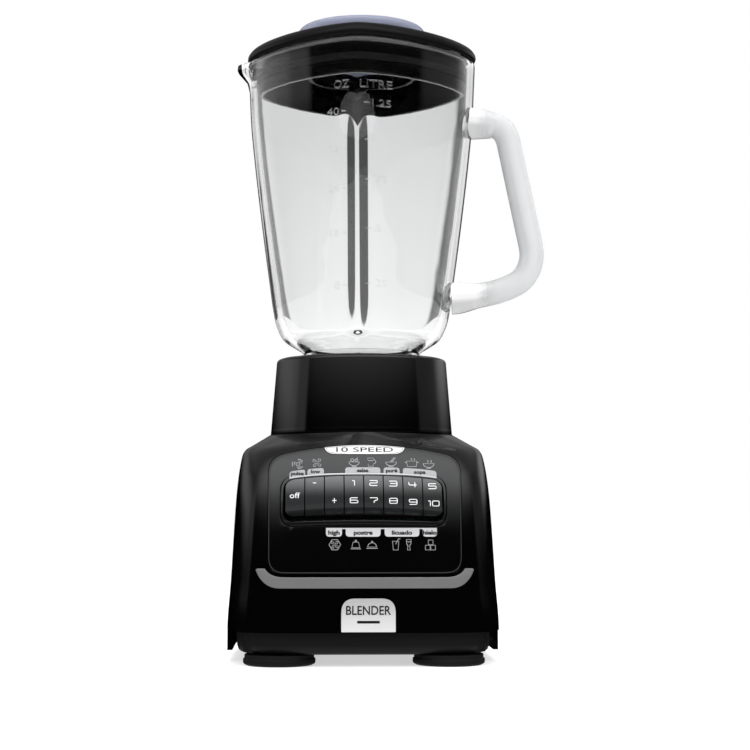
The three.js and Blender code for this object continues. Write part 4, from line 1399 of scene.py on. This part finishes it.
def make_scale():
    """The volume scale, raised a little from the glass on both sides of the flute."""
    marks = []
    for text, z in SCALE_RIGHT:
        marks.append(lettering(text, 9.2, z - 2.1, 4.2, 0.5, align="LEFT"))
        marks.append(tick(4.4, 7.8, z))
    for text, z in SCALE_LEFT:
        marks.append(lettering(text, -10.6, z - 2.1, 4.2, 0.5, align="RIGHT"))
        marks.append(tick(-9.2, -6.6, z))
    marks.append(lettering("OZ", -4.6, 340.9, 4.6, 0.5, 9, "RIGHT", 0.02))
    marks.append(lettering("LITRE", 2.0, 340.9, 4.6, 0.5, 19, "LEFT", 0.02))
    raised = [bent_to(mark, jar_front, 0.28, 2.5) for mark in marks]
    placed(joined("jar_scale", raised), "jar", "scale_glass", turn=JAR_TURN)


def make_jar_ring():
    profile = softened(
        [
            (42, 146.4, 0.8),
            (43.4, 149.5),
            (44.6, 180, 0.6),
            (43.8, 183.6, 1),
            (36.6, 183.6, 0.6),
            (36.6, 160.4),
            (28, 160.4, 0.5),
            (28, 157.4, 0.5),
            (38.5, 157.4),
            (39, 146.4, 0.5),
        ],
        0.3,
        closed=True,
    )
    placed(turned("threaded_ring", profile, 128), "jar", "satin_plastic", ["jar_ring"], JAR_TURN)


# ---------------------------------------------------------------- lid and cap


def corner_place(angle, radius, z, squareness):
    """A point of a ring that follows the jar's plan: two is round, less is a square stood on its corner."""
    exponent = 2 / squareness
    return radius * power(cos(angle), exponent), radius * power(sin(angle), exponent), z


def make_lid():
    outline = softened(
        [
            (60.8, 351, 0.6),
            (63.8, 351, 0.9),
            (64.4, 358.2, 0.4),
            (62.8, 358.2, 0.2),
            (62.8, 363.8, 0.2),
            (64.4, 363.8, 0.4),
            (64.4, 372.4, 0.3),
            (71.2, 372.4, 0.5),
            (71.9, 374.4, 0.8),
            (71.7, 376.8, 1.6),
            (69.4, 380, 1.8),
            (64, 381.7, 2.5),
            (50.5, 384.2, 3),
            (40.5, 385.8, 2),
            (38, 386.3, 0.8),
            (30.5, 386.3, 0.8),
            (30.5, 362, 0.05),
            (33, 362, 0.05),
            (33.2, 382.2, 1.5),
            (42, 382.2, 1),
            (57.4, 378.5, 2),
            (60.8, 372, 2),
        ],
        0.3,
        closed=True,
    )
    rows = []
    for radius, z in outline:
        roundness = 1.5 + 0.5 * (1 - smooth(radius, 33.3, 46))
        rows.append((radius, z, roundness))
    lid = shaped("lid_moulding", rows, 224, corner_place, ring=True)
    placed(lid, "lid", "lid_plastic", ["lid"], JAR_TURN)


def make_lid_seal():
    profile = softened(
        [(63.2, 358.8, 0.3), (65, 358.8, 0.4), (64.4, 361, 0.4), (65, 363.2, 0.4), (63.2, 363.2, 0.3)],
        0.3,
        closed=True,
    )
    rows = [(radius, z, 1.5) for radius, z in profile]
    seal = shaped("seal_ring", rows, 192, corner_place, ring=True)
    placed(seal, "lid", "rubber", ["lid_seal"], JAR_TURN)


def make_cap():
    outside = [
        (27.3, 372, 0.4),
        (29.3, 372, 0.5),
        (29.9, 386.65, 0.4),
        (39, 386.65, 0.5),
        (40, 388, 0.8),
        (40, 391.2, 1.4),
        (38.4, 393.2, 2),
        (32, 394.4, 4),
        (20, 394.9, 4),
        (0.5, 394.9, 0),
    ]
    inside = [(0.5, 392.4, 0), (24, 392.2, 2), (26.8, 390.6, 1.5), (27.3, 372, 0.3)]
    profile = softened(outside, 0.4) + softened(inside, 0.4)[:-1]
    cap = turned("cup_cap", profile, 128)
    placed(cap, "cap", "cap_plastic", ["measuring_cap"], JAR_TURN)


def finish_inside():
    """Gives every solid that is still shown its finish, by its slot."""
    by_slot = {}
    for name, (slot, _) in FINISHES.items():
        by_slot.setdefault(slot, name)
    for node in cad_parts.values():
        for holder in node.material_slots:
            slot = holder.material.name.split(".")[0]
            if slot in by_slot:
                holder.material = finish_named(by_slot[slot])


# ---------------------------------------------------------------- studio


# bearing round from the front towards the right, in degrees, and brightness
STRIPS = [
    (-180, 0.12),
    (-150, 0.18),
    (-112, 0.55),
    (-98, 0.5),
    (-92, 0.32),
    (-80, 0.32),
    (-76, 0.0),
    (76, 0.0),
    (80, 0.14),
    (112, 0.16),
    (126, 0.58),
    (138, 0.58),
    (160, 0.25),
    (180, 0.12),
]


def studio_world():
    """White all round for the camera.

    Gloss sees grey panels instead, and glass sees two dark flags behind the jar.
    """
    scene = bpy.context.scene
    world = bpy.data.worlds.new("studio_light")
    scene.world = world
    world.use_nodes = True
    sheet = Sheet(world.node_tree)
    x, y, z = sheet.split(sheet.node("TexCoord", out=0))
    turn = sheet.node("Math", {"operation": "ARCTAN2"}, {0: x, 1: y * -1}) * (0.5 / pi) + 0.5

    stops = [(bearing / 360 + 0.5, (tone, tone, tone, 1)) for bearing, tone in STRIPS]
    strips = sheet.node("ValToRGB", {"stops": stops}, {0: turn})
    side_panels = strips * z.ease(0.06, 0.2) * (1 - z.ease(0.24, 0.45))
    ahead = (y * -1).ease(-0.1, 0.45)
    top_panel = z.ease(0.18, 0.62) * (ahead * 0.95 + 0.28)
    floor_tone = (z * -1).ease(0.14, 0.45) * 0.4
    seen_in_gloss = side_panels + top_panel + floor_tone
    behind = sheet.node("Math", {"operation": "PINGPONG"}, {0: turn, 1: 0.5}) * 360
    flags = behind.ease(10, 12.5) * (1 - behind.ease(21, 25)) * (1 - z.ease(0.225, 0.25))
    seen_in_glass = (1 - flags * 0.9) * (1 - z.ease(0.08, 0.32) * 0.32)
    ray = sheet.node("LightPath").socket.node.outputs
    camera = Signal(sheet, ray["Is Camera Ray"])
    walls = Signal(sheet, ray["Transmission Depth"])
    inside_wall = walls.ease(0, 1) * (1 - walls.ease(3, 4)) * y.ease(0.35, 0.65)
    mirrored = Signal(sheet, ray["Glossy Depth"]).ease(0, 1) * (1 - inside_wall)
    scattered = Signal(sheet, ray["Diffuse Depth"]).ease(0, 1)
    beyond = scattered * 0.9 + (1 - scattered) * (mirrored * seen_in_gloss + (1 - mirrored) * seen_in_glass)
    light = camera + (1 - camera) * beyond
    background = sheet.node("Background", None, {"Color": (1, 1, 1, 1), "Strength": light})
    sheet.show(background, "OutputWorld")


def soft_light(name, place, aim, size, watts):
    """A square of light that gloss and glass don't see."""
    bpy.ops.object.select_all(action="DESELECT")
    bpy.ops.object.light_add(type="AREA", location=place)
    light = bpy.context.object
    light.name = name
    light.data.size = size
    light.data.energy = watts
    light.rotation_euler = (Vector(aim) - Vector(place)).to_track_quat("-Z", "Y").to_euler()
    light.visible_glossy = False
    light.visible_transmission = False


CAMERA_PLACE = (-0.0474, -1.1036, 0.0894)
CAMERA_TURN = (radians(94.337), 0, radians(-2))


def make_studio():
    studio = bpy.context.scene.blender_studio
    scene = bpy.context.scene
    scene.view_settings.view_transform = "Standard"
    bpy.ops.object.select_all(action="DESELECT")
    bpy.ops.mesh.primitive_grid_add(x_subdivisions=24, y_subdivisions=24, size=studio.floor_size)
    floor = bpy.context.object
    floor.name = "floor"
    paper = moulded(
        "floor_paper",
        studio.floor_colour,
        0.9,
        60,
        0.00002,
        0.01,
        0.02,
        Specular_IOR_Level=0.0,
        Emission_Color=(1, 1, 1, 1),
        Emission_Strength=studio.floor_glow,
    )
    floor.data.materials.append(paper)
    floor.visible_glossy = False
    studio_world()
    soft_light("overhead_box", (0, -0.1, 1.6), (0, 0, 0), 1.6, studio.overhead)
    soft_light("left_box", (-1.5, -0.9, 0.8), (0, 0, 0.2), 1.0, studio.side)
    soft_light("right_box", (1.5, -0.9, 0.8), (0, 0, 0.2), 1.0, studio.side)
    bpy.ops.object.select_all(action="DESELECT")
    bpy.ops.object.camera_add(location=CAMERA_PLACE, rotation=CAMERA_TURN)
    camera = bpy.context.object
    camera.name = "front_camera"
    camera.data.lens = studio.lens
    camera.data.clip_start = 0.02
    scene.camera = camera


# ---------------------------------------------------------------- what a user would change


def number(name, description, default, **settings):
    return bpy.props.FloatProperty(name=name, description=description, default=default, **settings)


def tint(name, description, default):
    settings = {"subtype": "COLOR", "size": 4, "min": 0, "max": 1}
    return bpy.props.FloatVectorProperty(name=name, description=description, default=default, **settings)


class BaseSizes(bpy.types.PropertyGroup):
    """Sizes of the base in millimetres"""

    wall: number("Wall", "Thickness of the housing's wall", 3.0, min=1)
    skirt_start: number("Skirt start", "Where the side skirts start, towards the rear", -38.0)
    louvre_rows: bpy.props.IntProperty(name="Louvres", description="Rows of louvres", default=5, min=1)
    foot_radius: number("Foot radius", "Radius of a foot", 21.0)


class ControlSizes(bpy.types.PropertyGroup):
    """Sizes of the controls in millimetres"""

    key_width: number("Key width", "Width of a key", 10.65)


class JarSizes(bpy.types.PropertyGroup):
    """Sizes of the jar in millimetres"""

    wall: number("Glass", "Thickness of the glass", 4.4, min=1)
    floor: number("Floor", "How much higher the inside's shape stands than the outside's", 3.0)
    flute_depth: number("Flute depth", "How deep the flute is pressed in", 7.5)
    flute_width: number("Flute width", "How wide the flute is", 5.2)
    spout_reach: number("Spout", "How far the spout stands out", 7.2)


class Colours(bpy.types.PropertyGroup):
    """Colours of the finishes"""

    shell: tint("Shell", "Gloss black of the housing and collar", (0.0008, 0.0008, 0.0009, 1))
    panel: tint("Panel", "Black of the control panel", (0.0012, 0.0012, 0.0013, 1))
    satin: tint("Satin", "Black of the satin mouldings", (0.004, 0.004, 0.0042, 1))
    lid: tint("Lid", "Black of the lid", (0.004, 0.004, 0.0043, 1))
    key: tint("Keys", "Dark grey of the keys", (0.006, 0.0072, 0.0075, 1))
    silver: tint("Silver", "Silver of the badge and front plate", (0.72, 0.72, 0.72, 1))
    trim: tint("Trim", "Grey of the trim strip", (0.3, 0.3, 0.3, 1))
    glass: tint("Glass", "Tint of the jar", (0.985, 0.988, 0.99, 1))
    cap: tint("Cap", "Tint of the measuring cap", (0.5, 0.53, 0.68, 1))


class StudioSettings(bpy.types.PropertyGroup):
    """The floor, the lights and the lens"""

    floor_size: number("Floor", "Width of the floor", 12, unit="LENGTH")
    floor_colour: tint("Floor colour", "Pale colour of the floor", (0.6, 0.6, 0.6, 1))
    floor_glow: number("Floor glow", "How much the floor lights itself", 0.55)
    overhead: number("Overhead", "Power of the overhead light", 22, unit="POWER")
    side: number("Side", "Power of each side light", 8, unit="POWER")
    lens: number("Lens", "Focal length of the camera in millimetres", 85.44)


GROUPS = {
    "blender_base": BaseSizes,
    "blender_controls": ControlSizes,
    "glass_jar": JarSizes,
    "blender_colours": Colours,
    "blender_studio": StudioSettings,
}

# ---------------------------------------------------------------- operators


class PieceOperator:
    """What the operators share: each runs its own maker."""

    bl_options = {"REGISTER", "UNDO"}
    makers = ()

    def execute(self, context):
        for maker in self.makers:
            maker()
        return {"FINISHED"}


class COUNTERTOP_OT_studio(PieceOperator, bpy.types.Operator):
    """Set up the floor, the lights and the camera"""

    bl_idname = "countertop.studio"
    bl_label = "Studio"
    makers = (make_studio,)


class COUNTERTOP_OT_housing(PieceOperator, bpy.types.Operator):
    """Make the motor housing"""

    bl_idname = "countertop.housing"
    bl_label = "Motor housing"
    makers = (make_housing,)


class COUNTERTOP_OT_collar(PieceOperator, bpy.types.Operator):
    """Make the collar that the jar stands in"""

    bl_idname = "countertop.collar"
    bl_label = "Jar collar"
    makers = (make_collar,)


class COUNTERTOP_OT_underside(PieceOperator, bpy.types.Operator):
    """Make the base plate, the feet and the cord gland"""

    bl_idname = "countertop.underside"
    bl_label = "Base plate, feet and gland"
    makers = (make_base_plate, make_feet, make_gland)


class COUNTERTOP_OT_panel(PieceOperator, bpy.types.Operator):
    """Make the control panel, the key frame and the plates on the front"""

    bl_idname = "countertop.panel"
    bl_label = "Control panel and plates"
    makers = (make_panel, make_key_frame, make_badge, make_trim, make_plate)


class COUNTERTOP_OT_keys(PieceOperator, bpy.types.Operator):
    """Make the eight rocker keys with their numbers"""

    bl_idname = "countertop.keys"
    bl_label = "Rocker keys"
    makers = (make_keys,)


class COUNTERTOP_OT_legends(PieceOperator, bpy.types.Operator):
    """Make the words and small pictures on the panel"""

    bl_idname = "countertop.legends"
    bl_label = "Panel legends"
    makers = (make_legends, make_icons)


class COUNTERTOP_OT_jar(PieceOperator, bpy.types.Operator):
    """Make the glass jar with its handle, scale and ring"""

    bl_idname = "countertop.jar"
    bl_label = "Glass jar"
    makers = (make_jar, make_scale, make_jar_ring)


class COUNTERTOP_OT_lid(PieceOperator, bpy.types.Operator):
    """Make the lid, its seal and the measuring cap"""

    bl_idname = "countertop.lid"
    bl_label = "Lid and cap"
    makers = (make_lid, make_lid_seal, make_cap)


class COUNTERTOP_OT_inside(PieceOperator, bpy.types.Operator):
    """Give the motor and the blades their finishes"""

    bl_idname = "countertop.inside"
    bl_label = "Motor and blades"
    makers = (finish_inside,)


OPERATORS = (
    COUNTERTOP_OT_studio,
    COUNTERTOP_OT_housing,
    COUNTERTOP_OT_collar,
    COUNTERTOP_OT_underside,
    COUNTERTOP_OT_panel,
    COUNTERTOP_OT_keys,
    COUNTERTOP_OT_legends,
    COUNTERTOP_OT_jar,
    COUNTERTOP_OT_lid,
    COUNTERTOP_OT_inside,
)


class COUNTERTOP_PT_sidebar(bpy.types.Panel):
    """The sizes and colours, and a button for each group of pieces"""

    bl_label = "Countertop blender"
    bl_idname = "COUNTERTOP_PT_sidebar"
    bl_space_type = "VIEW_3D"
    bl_region_type = "UI"
    bl_category = "Blender"

    def draw(self, context):
        for name in GROUPS:
            box = self.layout.box()
            group = getattr(context.scene, name)
            for key in group.__annotations__:
                box.prop(group, key)
        for operator in OPERATORS:
            self.layout.operator(operator.bl_idname)


def register():
    for group in GROUPS.values():
        bpy.utils.register_class(group)
    for name, group in GROUPS.items():
        setattr(bpy.types.Scene, name, bpy.props.PointerProperty(type=group))
    for operator in OPERATORS:
        bpy.utils.register_class(operator)
    bpy.utils.register_class(COUNTERTOP_PT_sidebar)


def unregister():
    bpy.utils.unregister_class(COUNTERTOP_PT_sidebar)
    for operator in reversed(OPERATORS):
        bpy.utils.unregister_class(operator)
    for name, group in reversed(GROUPS.items()):
        delattr(bpy.types.Scene, name)
        bpy.utils.unregister_class(group)


def main():
    register()
    for operator in OPERATORS:
        maker = getattr(bpy.ops.countertop, operator.bl_idname.split(".")[1])
        if maker() != {"FINISHED"}:
            raise RuntimeError(operator.bl_label + " was not made")


if __name__ == "__main__":
    main()
